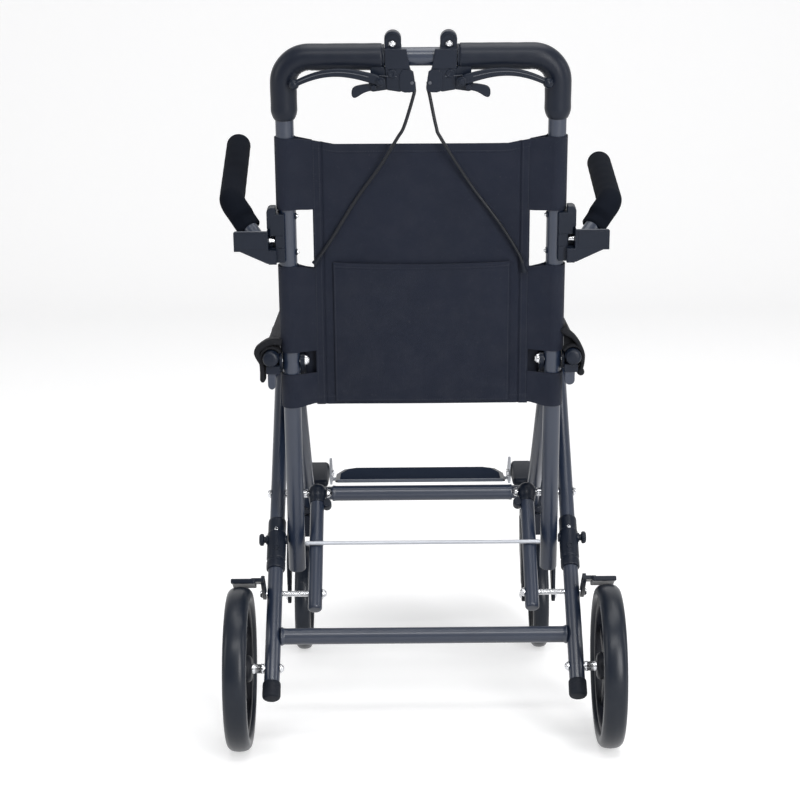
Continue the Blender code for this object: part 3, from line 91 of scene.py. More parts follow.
paper_points = sweep(7.0, -5.0, 3.2, 1.2, 5.0)
paper_faces = [(2 * i, 2 * i + 1, 2 * i + 3, 2 * i + 2) for i in range(len(paper_points) - 1)]
paper_mesh = bpy.data.meshes.new("studio_sweep")
paper_mesh.from_pydata(paper_points.reshape(-1, 3), [], paper_faces)
paper_mesh.shade_smooth()
paper_mesh.materials.append(studio_paper())
studio = bpy.data.objects.new("studio_sweep", paper_mesh)
bpy.context.scene.collection.objects.link(studio)

world = bpy.data.worlds.new("studio_air")
bpy.context.scene.world = world
world.use_nodes = True
air = world.node_tree
air_seen = node(air, "LightPath").outputs["Is Camera Ray"]
air_level = node(air, "MapRange", {"Value": air_seen, "To Min": 0.46, "To Max": 1.0})
air.nodes["Background"].inputs["Color"].default_value = (1, 1, 1, 1)
air.links.new(air_level.outputs["Result"], air.nodes["Background"].inputs["Strength"])


def stand(name, data, x, y, z, place):
    """Puts a lamp or a camera at place, its own axes turned to x, y and z."""
    made = bpy.data.objects.new(name, data)
    bpy.context.scene.collection.objects.link(made)
    made.matrix_world = Matrix([[x[k], y[k], z[k], place[k]] for k in range(3)] + [[0, 0, 0, 1]])
    return made


for name, place, aim, size, power in (
    ("lamp_key", (1.35, -2.9, 1.30), 0.50, (0.6, 1.9), 56),
    ("lamp_high", (0.2, -2.3, 2.7), 0.50, (2.0, 0.35), 30),
    ("lamp_right", (3.0, -0.6, 1.4), 0.45, (0.6, 2.0), 18),
    ("lamp_left", (-2.8, -1.0, 1.5), 0.45, (0.6, 1.8), 16),
    ("lamp_above", (0.3, 0.2, 3.4), 0.3, (2.2, 2.2), 52),
):
    lamp = bpy.data.lights.new(name, "AREA")
    lamp.shape = "RECTANGLE"
    lamp.size, lamp.size_y = size
    lamp.energy = power
    back = np.array(place) - (0, 0, aim)
    back /= np.linalg.norm(back)
    level = np.cross((0, 0, 1), back)
    level /= np.linalg.norm(level)
    stand(name, lamp, level, np.cross(back, level), back, place)

VIEW_FROM = (-0.0225, -2.6316, 0.928)
VIEW_YAW = math.radians(-0.42)
VIEW_PITCH = math.radians(11.43)
VIEW_ROLL = math.radians(-0.35)
ahead = np.array([-math.sin(VIEW_YAW), math.cos(VIEW_YAW), -math.tan(VIEW_PITCH)]) * math.cos(VIEW_PITCH)
level_right = np.array([math.cos(VIEW_YAW), math.sin(VIEW_YAW), 0])
level_up = np.cross(level_right, ahead)
view_right = level_right * math.cos(VIEW_ROLL) + level_up * math.sin(VIEW_ROLL)
lens = bpy.data.cameras.new("camera")
lens.lens = 90.09
lens.sensor_width = 36
lens.shift_x = -0.0234
lens.shift_y = -0.0058
lens.clip_end = 60
camera = stand("camera", lens, view_right, np.cross(view_right, ahead), -ahead, VIEW_FROM)
bpy.context.scene.camera = camera
bpy.context.scene.view_settings.view_transform = "Standard"


# Rear legs. Two round tubes of 19.5 mm lean forward from the rear axle to the seat, in
# satin dark metallic paint. Each foot has a moulded rubber ferrule pushed over it.
MM = 0.001
ACROSS, ALONG, UP = np.eye(3)
LEG_LEAN = math.radians(43.74)
LEG_X = 189.5
LEG_R = 9.75


def leaned(points, y, z, angle):
    """Points in a leaning tube's own frame, turned by angle about X and set down at (y, z)."""
    p = np.asarray(points, float)
    c, s = math.cos(angle), math.sin(angle)
    return np.stack([p[..., 0], y + p[..., 1] * c - p[..., 2] * s, z + p[..., 1] * s + p[..., 2] * c], -1)


def on_leg(points):
    """(x, along the leg, square to it) to the chair's frame."""
    return leaned(points, -0.28056, 0.076, LEG_LEAN)


def eased(profile, cut):
    """Each corner p gives way to a, (a + 2p + b) / 4 and b, with a and b up to cut away from it."""
    p = np.array(profile, float)
    step = np.diff(p, axis=0)
    length = np.linalg.norm(step, axis=1, keepdims=True)
    reach = np.minimum(cut, length * 0.45) / np.maximum(length, 1e-6)
    before = p[1:-1] - step[:-1] * reach[:-1]
    after = p[1:-1] + step[1:] * reach[1:]
    middle = (before + 2 * p[1:-1] + after) / 4
    return np.vstack([p[:1], np.stack([before, middle, after], 1).reshape(-1, p.shape[1]), p[-1:]])


def turned(profile, start, axis, sides=40, cut=0.6):
    """A lathe shape: start + d axis + r (cos t u + sin t v) for each (d, r) of the eased profile.

    Profile, start and cut are in millimetres; the grid that comes back is in metres.
    """
    d, r = eased(profile, cut).T
    axis = np.array(axis, float) / np.linalg.norm(axis)
    u = np.cross(axis, (0.31, 0.52, 0.79))
    u /= np.linalg.norm(u)
    v = np.cross(axis, u)
    t = np.arange(sides) * 2 * math.pi / sides
    ring = np.cos(t)[:, None] * u + np.sin(t)[:, None] * v
    return MM * (np.array(start, float) + d[:, None, None] * axis + r[:, None, None] * ring)


def mesh_object(name, points, faces):
    """A new object with a smooth mesh of these points and faces."""
    mesh = bpy.data.meshes.new(name)
    mesh.from_pydata(points.reshape(-1, 3), [], faces)
    mesh.shade_smooth()
    made = bpy.data.objects.new(name, mesh)
    bpy.context.scene.collection.objects.link(made)
    return made


def skin(name, grid, looped=False, closed=True):
    """Quads over a grid: columns close into rings, rows end in caps or run back to the first row.

    The map runs in metres: round the ring in U and along the rows in V.
    """
    rows, cols = grid.shape[:2]
    r, c = np.mgrid[0:rows if looped else rows - 1, 0:cols if closed else cols - 1]
    n, m = (r + 1) % rows, (c + 1) % cols
    faces = np.stack([r * cols + c, r * cols + m, n * cols + m, n * cols + c], -1).reshape(-1, 4).tolist()
    if closed and not looped:
        faces += [list(range(cols))[::-1], list(range((rows - 1) * cols, rows * cols))]
    piece = mesh_object(name, grid, faces)
    along, around = (
        np.concatenate([[0], np.cumsum(np.linalg.norm(np.roll(grid, -1, k) - grid, axis=2).mean(1 - k))])
        for k in (0, 1)
    )
    corners = [(c, r), (c + 1, r), (c + 1, r + 1), (c, r + 1)]
    uv = np.stack([np.stack([around[a], along[b]], -1) for a, b in corners], 2).ravel()
    flat = np.zeros(len(piece.data.loops) * 2)
    flat[:len(uv)] = uv
    piece.data.uv_layers.new(name="UVMap").data.foreach_set("uv", flat)
    solid = bmesh.new()
    solid.from_mesh(piece.data)
    bmesh.ops.recalc_face_normals(solid, faces=solid.faces)
    solid.to_mesh(piece.data)
    solid.free()
    piece.data.shade_smooth()
    piece.data.set_sharp_from_angle(angle=math.radians(38))
    return piece


def fit(piece, finish, body, *nodes):
    """Gives a piece its finish, hangs it on its body and hides the solids it stands for."""
    material, slot = finish
    piece.data.materials.append(material)
    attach(piece, body)
    if nodes:
        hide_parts(*nodes)
    return piece


def add(name, grid, finish, body, *nodes, ease=0, **how):
    """One piece over a grid in metres; ease in millimetres rounds the edges of a plate."""
    piece = skin(name, grid, **how)
    if ease:
        rounding = piece.modifiers.new("rounded_edges", "BEVEL")
        rounding.width = ease * MM
        rounding.segments = 3
        rounding.limit_method = "ANGLE"
        rounding.angle_limit = math.radians(32)
        rounding.harden_normals = True
    return fit(piece, finish, body, *nodes)


def both(name, shape, finish, body, *nodes, **how):
    """A left and a right piece; * in the names stands for l or r.

    A grid is mirrored in X, and a function gives the grid for the side's sign.
    """
    made = []
    for tag, side in (("l", -1), ("r", 1)):
        grid = shape(side) if callable(shape) else shape * (side, 1, 1)
        name_here, *rest = (word.replace("*", tag) for word in (name, body, *nodes))
        made.append(add(name_here, grid, finish, *rest, **how))
    return made


def spin(name, profile, start, axis, place, finish, body, *nodes, sides=40, cut=0.6, **how):
    """A turned pair: mirrored where it lies across the chair, else carried over to the other side."""
    def shape(side):
        if axis is ACROSS:
            return place(turned(profile, start, axis, sides, cut)) * (side, 1, 1)
        return place(turned(profile, np.multiply(start, (side, 1, 1)), axis, sides, cut))
    return both(name, shape, finish, body, *nodes, **how)


def mixed(tree, share, first, second):
    """The colour between first and second by share."""
    return node(tree, "Mix", {0: share, 6: first, 7: second}, data_type="RGBA").outputs[2]


def ranged(tree, value, from_low=0.0, from_high=1.0, to_low=0.0, to_high=1.0):
    """The value carried from one range to another, and held inside it."""
    ends = {"From Min": from_low, "From Max": from_high, "To Min": to_low, "To Max": to_high}
    return node(tree, "MapRange", {"Value": value, **ends}).outputs["Result"]


def effect(name, inputs, outputs, build):
    """A shader node group with a Vector and these numbers going in, and what build gives coming out."""
    tree = bpy.data.node_groups.new(name, "ShaderNodeTree")
    tree.interface.new_socket(name="Vector", in_out="INPUT", socket_type="NodeSocketVector")
    for label, value in inputs.items():
        socket = tree.interface.new_socket(name=label, in_out="INPUT", socket_type="NodeSocketFloat")
        socket.default_value = value
    for label in outputs:
        tree.interface.new_socket(name=label, in_out="OUTPUT", socket_type="NodeSocketFloat")
    given = tree.nodes.new("NodeGroupInput").outputs
    result = tree.nodes.new("NodeGroupOutput").inputs
    for label, socket in zip(outputs, build(tree, given)):
        tree.links.new(socket, result[label])
    return tree


def grain_of(tree, given):
    """Fine grain and slow drift of a surface: two noises of unlike scale, and cells for specks."""
    vector = given["Vector"]
    fine = node(tree, "TexNoise", {"Vector": vector, "Scale": given["Fine"], "Detail": 3.0})
    slow = node(tree, "TexNoise", {"Vector": vector, "Scale": given["Slow"], "Detail": 4.0})
    cells = node(tree, "TexVoronoi", {"Vector": vector, "Scale": given["Fine"]})
    return fine.outputs["Fac"], slow.outputs["Fac"], cells.outputs["Color"]


def rub_of(tree, given):
    """Where a surface is rubbed: short scratches, and scuffs that gather in slow patches."""
    vector = given["Vector"]
    warp = node(tree, "Mapping", {"Vector": vector, "Scale": (1.0, 0.22, 0.30)})
    drawn = {"Vector": warp.outputs[0], "Scale": given["Scale"], "Detail": 8.0, "Roughness": 0.7}
    lines = node(tree, "TexNoise", drawn)
    patch = node(tree, "TexNoise", {"Vector": vector, "Scale": 9.0, "Detail": 2.0})
    total = reckoned(tree, "ADD", lines.outputs["Fac"], patch.outputs["Fac"])
    half = reckoned(tree, "MULTIPLY", total, 0.5)
    return [ranged(tree, half, given["Least"], reckoned(tree, "ADD", given["Least"], 0.08))]


def dust_of(tree, given):
    """Dust from the floor: thickest at the ground, thinning upwards, broken by noise."""
    vector = given["Vector"]
    height = node(tree, "SeparateXYZ", {0: vector}).outputs["Z"]
    low = ranged(tree, height, 0.0, given["Top"], 1.0, 0.0)
    cloud = node(tree, "TexNoise", {"Vector": vector, "Scale": 38.0, "Detail": 6.0, "Roughness": 0.65})
    spots = reckoned(tree, "MULTIPLY", low, ranged(tree, cloud.outputs["Fac"], 0.42, 0.78))
    return [reckoned(tree, "MULTIPLY", spots, given["Amount"])]


GRAIN = effect("surface_grain", {"Fine": 900.0, "Slow": 14.0}, ("Height", "Drift", "Speck"), grain_of)
RUB = effect("rubbed_places", {"Scale": 60.0, "Least": 0.66}, ("Mask",), rub_of)
DUST = effect("floor_dust", {"Top": 0.3, "Amount": 0.5}, ("Mask",), dust_of)


def new_finish(name, plain):
    """A material with the plain values of its shader set; also its tree, shader and coordinates."""
    material = bpy.data.materials.new(name)
    material.use_nodes = True
    tree = material.node_tree
    shader = tree.nodes["Principled BSDF"].inputs
    for key, value in plain.items():
        shader[key].default_value = value
    return material, tree, shader, node(tree, "TexCoord").outputs


def hard_finish(name, slot, colour, light, rough, metallic=0.0, fine=900.0, depth=0.03, rub=0.68,
                dust=0.15, spread=0.10, gloss=0.5):
    """Paint, moulded plastic, rubber or plated steel, with the slot it belongs to.

    The colour drifts between two tones, fine grain of depth millimetres lifts the surface,
    rubbed places are lighter, and dust from the floor greys and dulls what is low.
    """
    plain = {"Metallic": metallic, "Specular IOR Level": gloss}
    material, tree, shader, coords = new_finish(name, plain)
    where = coords["Object"]
    grain = node(tree, "Group", {"Vector": where, "Fine": fine, "Slow": 16.0}, node_tree=GRAIN)
    tones = mixed(tree, grain.outputs["Drift"], (*colour, 1), (*light, 1))
    rubbed = node(tree, "Group", {"Vector": where, "Scale": 70.0, "Least": rub}, node_tree=RUB)
    pale = [min(1, 1.5 * c + 0.012) for c in light]
    worn = mixed(tree, rubbed.outputs["Mask"], tones, (*pale, 1))
    dusty = node(tree, "Group", {"Vector": where, "Top": 0.34, "Amount": dust}, node_tree=DUST)
    top = mixed(tree, dusty.outputs["Mask"], worn, (0.30, 0.29, 0.275, 1))
    tree.links.new(top, shader["Base Color"])
    sheen = ranged(tree, grain.outputs["Speck"], 0.0, 1.0, rough - spread / 2, rough + spread / 2)
    dull = reckoned(tree, "MULTIPLY", dusty.outputs["Mask"], 0.35)
    tree.links.new(reckoned(tree, "ADD", sheen, dull), shader["Roughness"])
    bump = node(tree, "Bump", {"Strength": 1.0, "Distance": depth * MM, "Height": grain.outputs["Height"]})
    tree.links.new(bump.outputs["Normal"], shader["Normal"])
    return material, slot


frame_paint = hard_finish("satin_frame_paint", "frame_paint", (0.008, 0.015, 0.034), (0.014, 0.023, 0.046),
                          0.315, fine=1500.0, depth=0.004, dust=0.02, spread=0.04, gloss=0.72)
black_rubber = hard_finish("moulded_black_rubber", "black_plastic", (0.004, 0.006, 0.011),
                           (0.008, 0.011, 0.019), 0.60, fine=700.0, depth=0.05, dust=0.05, gloss=0.20)
tube = [(4, 6), (4, LEG_R), (503, LEG_R), (503.8, LEG_R - 1.6), (503, LEG_R - 2.6)]
spin("rear_leg_tube_*", tube, (LEG_X, 0, 0), ALONG, on_leg, frame_paint, "rear_frame", "rear_leg_*", sides=48)
ferrule = [(-5, 3), (-5, 8.6), (-3.5, 10.7), (-1, 11.4), (8.5, 11.4), (9.2, 11), (10, 11.4), (15, 11.3),
           (16.8, 10.8), (17, LEG_R - 0.2)]
spin("leg_ferrule_*", ferrule, (LEG_X, 0, 0), ALONG, on_leg, black_rubber, "rear_frame", sides=48, cut=1)


# Rear crossbar. A 20.5 mm tube coped to the two legs and welded all round; the beads
# were painted over with it.
def welded_bar(radius, reach, bead):
    """A straight tube whose ends flare into painted weld beads."""
    half = [(-reach, radius + bead * 0.5), (-reach + 0.8, radius + bead),
            (-reach + 2.6, radius + bead * 0.75), (-reach + 4.2, radius)]
    return half + [(-d, r) for d, r in half[::-1]]


def crossbar(name, profile, along, place, body, solid):
    """A painted bar across the chair, welded between two tubes at a distance along them."""
    bar = turned(profile, (0, along, 0), ACROSS, 48, 1.5)
    add(name, place(bar), frame_paint, body, solid)


crossbar("rear_crossbar_tube", welded_bar(10.25, 180, 1.6), 81.8, on_leg, "rear_frame", "rear_crossbar")


# Guide tubes. An 18 mm tube beside each leg keeps the cane's foot in a slot; it ends in a
# round moulded fitting, and the bar between the two fittings braces the pair.
GUIDE_X = 138
UPPER_BOLT = 293.5
LOWER_BOLT = 142.9
black_plastic = hard_finish("moulded_black_plastic", "black_plastic", (0.003, 0.006, 0.013),
                            (0.007, 0.011, 0.022), 0.36, fine=1200.0, depth=0.03, dust=0.02, gloss=0.24)
tube = [(119, 4), (119.2, 7.4), (121, 9), (279, 9)]
spin("guide_pipe_*", tube, (GUIDE_X, 0, 0), ALONG, on_leg, frame_paint, "rear_frame", "guide_tube_*", cut=1)
socket = [(277, 8.8), (277, 9.8), (279, 10.4), (285, 10.8), (288, 11.8), (293.5, 12.5), (299, 11.7), (303, 9),
          (305, 5), (305.6, 1.2)]
spin("guide_elbow_*", socket, (GUIDE_X, 0, 0), ALONG, on_leg, black_plastic, "rear_frame", cut=3)
clip = [(-6.2, 3), (-6.2, 5.6), (-4, 6.4), (4, 6.4), (6.2, 5.6), (6.2, 3)]
spin("guide_clip_*", clip, (125.5, UPPER_BOLT - 16.5, -1.5), UP, on_leg, black_plastic, "rear_frame",
     sides=20, cut=1)
crossbar("guide_crossbar_tube", welded_bar(10, 118, 0.4), UPPER_BOLT, on_leg, "rear_frame", "guide_crossbar")


# Bright fasteners. Zinc plated steel: through bolts with flange heads, acorn nuts on
# their inner ends, bushings and spacers between the tubes, and the wheel axles.
zinc = hard_finish("bright_zinc", "steel", (0.60, 0.61, 0.64), (0.76, 0.77, 0.79), 0.20, metallic=1.0,
                   fine=2600.0, depth=0.006, rub=0.74, dust=0.05, spread=0.08)
brushed = hard_finish("brushed_steel", "steel", (0.40, 0.42, 0.46), (0.52, 0.54, 0.58), 0.46, metallic=0.55,
                      fine=2200.0, depth=0.01, rub=0.72, dust=0.03, spread=0.10)
LEG_IN = LEG_X - LEG_R - 0.3
LEG_OUT = LEG_X + LEG_R + 0.3


def screw_head(face, height, radius, sign):
    """Button head: a low dome with a round socket sunk in its middle, as (distance, radius)."""
    sunk = [(face + sign * height * 0.35, radius * k) for k in (0, 0.40)]
    dome = [(face + sign * height * (1 - a ** 2.4), radius * (0.50 + 0.50 * a)) for a in np.linspace(0, 1, 7)]
    return sunk + [(face + sign * height, radius * 0.44)] + dome


def nut_end(face, height, radius, sign):
    """Acorn nut: a washer, a turned collar and a rounded cap, as (distance, radius)."""
    collar = [(face, radius * 1.18), (face + sign * 0.8, radius * 1.18), (face + sign * 0.8, radius),
              (face + sign * height * 0.5, radius)]
    t = np.linspace(0, math.pi / 2, 6)
    cap = [(face + sign * height * (0.55 + 0.45 * math.sin(a)), radius * 0.78 * math.cos(a) + 0.1) for a in t]
    return collar + cap


def bolts(name, profile, along, solid):
    """The two bolts across the rear legs at a distance along them."""
    spin(name, profile, (0, along, 0), ACROSS, on_leg, zinc, "rear_frame", solid, sides=28, cut=0.2)


shank = [(LEG_OUT, 5.8), (LEG_OUT, 3), (LEG_IN, 3), (LEG_IN, 5.5), (152, 5.5), (150.8, 4.6), (150.8, 3),
         (125.2, 3)]
profile = screw_head(LEG_OUT, 3.8, 5.8, 1) + shank + nut_end(125.2, 6.6, 5.2, -1)
bolts("guide_bolt_high_*", profile, UPPER_BOLT, "upper_guide_bolt_*")
thread = [(LEG_IN - 0.6 * k, 3.75 if k % 2 else 3.4) for k in range(53)]
shank = [(LEG_OUT + 5.1, 3), (LEG_IN, 3)] + thread + [(147.4, 3.7), (147.4, 3), (128.7, 3)]
profile = screw_head(LEG_OUT + 5.1, 3.8, 5.6, 1) + shank + nut_end(128.7, 5.8, 5, -1)
bolts("guide_bolt_low_*", profile, LOWER_BOLT, "lower_guide_bolt_*")
axle = [(LEG_IN, 4), (LEG_OUT, 4), (LEG_OUT, 6.5), (203, 6.5), (203.4, 5.8), (211, 5.8), (214.2, 6.5),
        (214.2, 4), (244.8, 4), (244.8, 6.8), (248.8, 6.8), (249.2, 4.8), (250.6, 4), (250.8, 1.2)]
bolts("wheel_axle_*", nut_end(LEG_IN, 5, 5.2, -1)[::-1] + axle, 36.85, "rear_axle_*")
half_stay = [(-152, 0.6), (-151.6, 1.9), (-149, 2.7), (-127, 2.7), (-126.2, 2.4)]
stay = turned(half_stay + [(-d, r) for d, r in half_stay[::-1]], (0, 210.5, 11.8), ACROSS, 28, 0.2)
add("front_stay", on_leg(stay), brushed, "rear_frame", "tie_rod")


# Lock brackets. A moulded sleeve on each leg holds a sprung pin; the knob outside pulls
# it out of the cane so that the chair can fold.
LOCK_AT = 223
KNOB_SIDES = 60
KNOB_RIBS = 20
steps = [(177.5, LEG_R), (177.5, 11.4), (179, 12.2), (188.5, 12.2), (189, 11.7), (192.5, 11.7), (193, 12.3),
         (215, 12.3), (231, 12.3), (231.6, 11.6), (249, 11.6), (251.8, 10.8), (251.8, LEG_R)]
spin("lock_sleeve_*", steps, (LEG_X, 0, 0), ALONG, on_leg, black_plastic, "rear_frame", "lock_bracket_*",
     sides=48)
boss = [(175.7, 3), (175.7, 5.2), (176.6, 5.8), (180, 6), (181.5, 6.6)]
spin("lock_boss_in_*", boss, (0, LOCK_AT, 0), ACROSS, on_leg, black_plastic, "rear_frame", sides=28)
boss = [(198.5, 6.8), (201, 6.2), (203, 6), (203.4, 5.4), (203.4, 3)]
spin("lock_boss_out_*", boss, (0, LOCK_AT, 0), ACROSS, on_leg, black_plastic, "rear_frame", sides=28)
dot = screw_head(10.8, 1.8, 3, 1)
spin("lock_screw_*", dot, (LEG_X, 233, 0), UP, on_leg, zinc, "rear_frame", sides=20, cut=0.2)
ring = [(11.2, 4), (13, 4), (13, 3), (10.8, 2.6), (10.8, 0.4)]
spin("lock_eyelet_*", ring, (LEG_X, 204.5, 0), UP, on_leg, black_plastic, "rear_frame", sides=24, cut=0.3)
pull = [(-13.5, 2), (-13.2, 3.3), (13, 3.3), (13.7, 4.2), (16, 4.2), (16.6, 6.8), (17.6, 7.6), (20.6, 7.6),
        (22.2, 6.6), (22.7, 4.8), (22.2, 3), (22.1, 0.4)]
knob = turned(pull, (LEG_X, LOCK_AT, 0), ACROSS, KNOB_SIDES, 0.4)
ribbed = np.abs(knob[:, :1, 0] - MM * (LEG_X + 19.1)) < 1.8 * MM
ribs = 1 + 0.045 * np.cos(np.arange(KNOB_SIDES) * 2 * math.pi * KNOB_RIBS / KNOB_SIDES) * ribbed
knob_middle = (LOCK_AT * MM, 0)
knob[..., 1:] = knob_middle + (knob[..., 1:] - knob_middle) * ribs[..., None]
both("lock_pull_*", on_leg(knob), black_plastic, "lock_knob_*", "lock_knob_*")


# Rear wheels. 203 mm solid tyres of black polyurethane on five spoke moulded rims; the
# tread is smooth, with a fine parting line, mould marks and a few pale scuffs.
AXLE_Y = -253.94
AXLE_Z = 101.48
WHEEL_X = 229.5
SPOKES = 5


def swelled(wave, power):
    """sign(wave) |wave|^power: squares off the round section that cos and sin would give."""
    return np.sign(wave) * np.abs(wave) ** power


def tyre_loop(half, outer, depth, count):
    """Tyre section: a rounded crown over a foot, as (offset, radius) round a closed loop."""
    t = np.arange(count) * 2 * math.pi / count
    across = np.sin(t)
    crown = np.cos(t)
    wide = half * swelled(across, 0.80)
    swell = np.where(crown > 0, 0.55 * np.abs(crown) ** 0.80, -0.45 * np.abs(crown) ** 0.55)
    line = 0.22 * np.exp(-(wide / 0.5) ** 2) * (crown > 0)
    groove = 0.35 * np.exp(-((np.abs(wide) - half * 0.86) / 0.7) ** 2) * (crown > -0.2)
    return wide, outer + depth * (swell - 0.55) + line - groove


def wheel_ring(loop, x, y, z, segments):
    """The section carried round the axle: y + r sin t, z - r cos t, so that it starts at the floor."""
    offset, radius = np.asarray(loop)
    t = (np.arange(segments) * 2 * math.pi / segments)[:, None]
    wide = np.broadcast_to(x + offset, (segments, len(offset)))
    return MM * np.stack([wide, y + radius * np.sin(t), z - radius * np.cos(t)], -1)


def spoke(turn, inner, outer, x, y, z):
    """A spoke as rounded boxes along its length: wide at the hub, waisted, flared into the rim."""
    run = np.linspace(0, 1, 15)
    length = inner + (outer - inner) * run
    wide = 5.2 + 4.0 * (1 - run) ** 2.2 + 3.4 * run ** 5
    deep = 6.2 - 2.6 * run + 2.0 * run ** 4
    t = np.arange(28) * 2 * math.pi / 28
    u = swelled(np.cos(t), 0.5)
    v = swelled(np.sin(t), 0.5)
    web = 1 - 0.30 * np.exp(-(u / 0.45) ** 2) * np.abs(v)
    out = np.array([math.cos(turn), math.sin(turn)])
    wing = np.array([-out[1], out[0]])
    flat = length[:, None, None] * out + (wide[:, None] * u)[..., None] * wing
    return MM * np.stack([x + deep[:, None] * v * web, y + flat[..., 0], z + flat[..., 1]], -1)


def rubber_tyre():
    """Polyurethane tyre: mottled near black, with specks of pale grit on the tread."""
    material, slot = hard_finish("polyurethane_tyre", "tyre_rubber", (0.004, 0.007, 0.013),
                                 (0.008, 0.012, 0.021), 0.32, fine=520.0, depth=0.04, rub=0.66, dust=0.02,
                                 spread=0.06, gloss=0.30)
    tree = material.node_tree
    colour = tree.nodes["Principled BSDF"].inputs["Base Color"]
    where = node(tree, "TexCoord").outputs["Object"]
    grit = node(tree, "TexVoronoi", {"Vector": where, "Scale": 95.0}).outputs
    near_middle = ranged(tree, grit["Distance"], 0.06, 0.11, 1.0, 0.0)
    some = reckoned(tree, "GREATER_THAN", grit["Color"], 0.93)
    spots = reckoned(tree, "MULTIPLY", near_middle, some)
    speckled = mixed(tree, spots, colour.links[0].from_socket, (0.26, 0.27, 0.29, 1))
    tree.links.new(speckled, colour)
    return material, slot


tyre_finish = rubber_tyre()
rim_finish = hard_finish("moulded_rim_plastic", "black_plastic", (0.004, 0.005, 0.009), (0.007, 0.009, 0.014),
                         0.46, fine=1000.0, depth=0.04, dust=0.04, gloss=0.22)
tread = tyre_loop(14.5, 101.5, 17, 44)
both("rear_tread_*", lambda side: wheel_ring(tread, side * WHEEL_X, AXLE_Y, AXLE_Z, 128), tyre_finish,
     "rear_wheel_*", "rear_tyre_*", looped=True)
lip = [(-10.5, 79), (-9.8, 76), (-8.6, 75.2), (-7.8, 76), (-7, 77), (7, 77), (7.8, 76), (8.6, 75.2),
       (9.8, 76), (10.5, 79), (9.5, 85.5), (8, 85.8), (-8, 85.8), (-9.5, 85.5)]
both("rear_rim_band_*", lambda side: wheel_ring(np.transpose(lip), side * WHEEL_X, AXLE_Y, AXLE_Z, 96),
     rim_finish, "rear_wheel_*", "rear_rim_*", looped=True)
for k in range(SPOKES):
    turn = 2 * math.pi * k / SPOKES + math.pi / 2
    both(f"rear_spoke_*_{k + 1}", lambda side: spoke(turn, 11.5, 79, side * WHEEL_X, AXLE_Y, AXLE_Z),
         rim_finish, "rear_wheel_*")
hub = [(-15, 4.6), (-15, 12.5), (-13.8, 15), (-11.2, 16.8), (11.2, 16.8), (13.8, 15), (14.6, 11.2),
       (13.6, 10.4), (13.6, 8.6), (15, 8), (15, 4.6)]
spin("rear_hub_*", hub, (WHEEL_X, AXLE_Y, AXLE_Z), ACROSS, np.asarray, rim_finish, "rear_wheel_*", sides=48)


# Brake shoes. A pressed steel arm turns on the lower guide bolt and carries a curved
# moulded block that bears on the tyre's tread when the hand lever is squeezed.
SHOE_AT = math.radians(65)
TYRE_R = 101.5


def slab(outline, low, high):
    """An outline of (a, b) points at the heights low and high, from millimetres to metres."""
    a, b = np.array(outline, float).T
    return MM * np.stack([np.stack([a, b, np.full(len(a), h)], -1) for h in (low, high)])


def from_side(grid):
    """(y, z, x) outlines to (x, y, z)."""
    return grid[..., [2, 0, 1]]


def press(name, outline, low, high, place, finish, body, *nodes, ease=0.7):
    """A left and a right plate of an outline, from low to high, with rounded edges."""
    both(name, place(slab(outline, low, high)), finish, body, *nodes, ease=ease)


def arc(centre, radius, turn, radius_b=None):
    """(a, b) points round a centre at the angles turn; an ellipse where a second radius is given."""
    return list(zip(centre[0] + radius * np.cos(turn), centre[1] + (radius_b or radius) * np.sin(turn)))


def unit(vector):
    """The vector at length 1."""
    return vector / np.linalg.norm(vector)


axle_at = (AXLE_Y, AXLE_Z)
turn = SHOE_AT + np.linspace(-20.5, 19.5, 15) / (TYRE_R + 3)
block = arc(axle_at, TYRE_R + 4.1, turn) + arc(axle_at, TYRE_R + 10.4, turn[::-1])
press("brake_block_*", block, 211.5, 241, from_side, black_plastic, "brake_shoe_*", "brake_shoe_*", ease=1.4)
turn = SHOE_AT + np.array([-0.11, 0.11])
shelf = arc(axle_at, 108, turn) + arc(axle_at, 112.8, turn[::-1])
press("brake_shelf_*", shelf, 200.1, 216, from_side, black_plastic, "brake_shoe_*")
pivot = on_leg((0, LOWER_BOLT * MM, 0))[1:] / MM
end = np.array(arc(axle_at, 110, np.array([SHOE_AT]))[0])
along = unit(end - pivot)
wing = np.array([-along[1], along[0]])
t = np.linspace(-math.pi / 2, math.pi / 2, 9)[:, None]
low_end = pivot - 7.2 * (along * np.cos(t) - wing * np.sin(t))
high_end = end + 6.2 * along * np.cos(t) + 6.6 * wing * np.sin(t)
press("brake_arm_*", np.vstack([low_end, high_end[::-1]]), 200.1, 204.5, from_side, black_plastic,
      "brake_shoe_*", ease=0.6)


# Seat rails. A 19 mm tube along each side carries the sling; moulded plugs close the ends,
# and a forked lug below each rail takes the top of the rear leg.
RAIL_X = 188.5
RAIL_Z = 480
HUB_Y = -157.56
HUB_Z = 474
FOLD_Y = 75.63
FOLD_Z = 416.85
LUG_HALF = 13.35
half_turn = np.linspace(math.pi, 2 * math.pi, 13)


def from_rear(grid):
    """(x, z, y) outlines to (x, y, z)."""
    return grid[..., [0, 2, 1]]


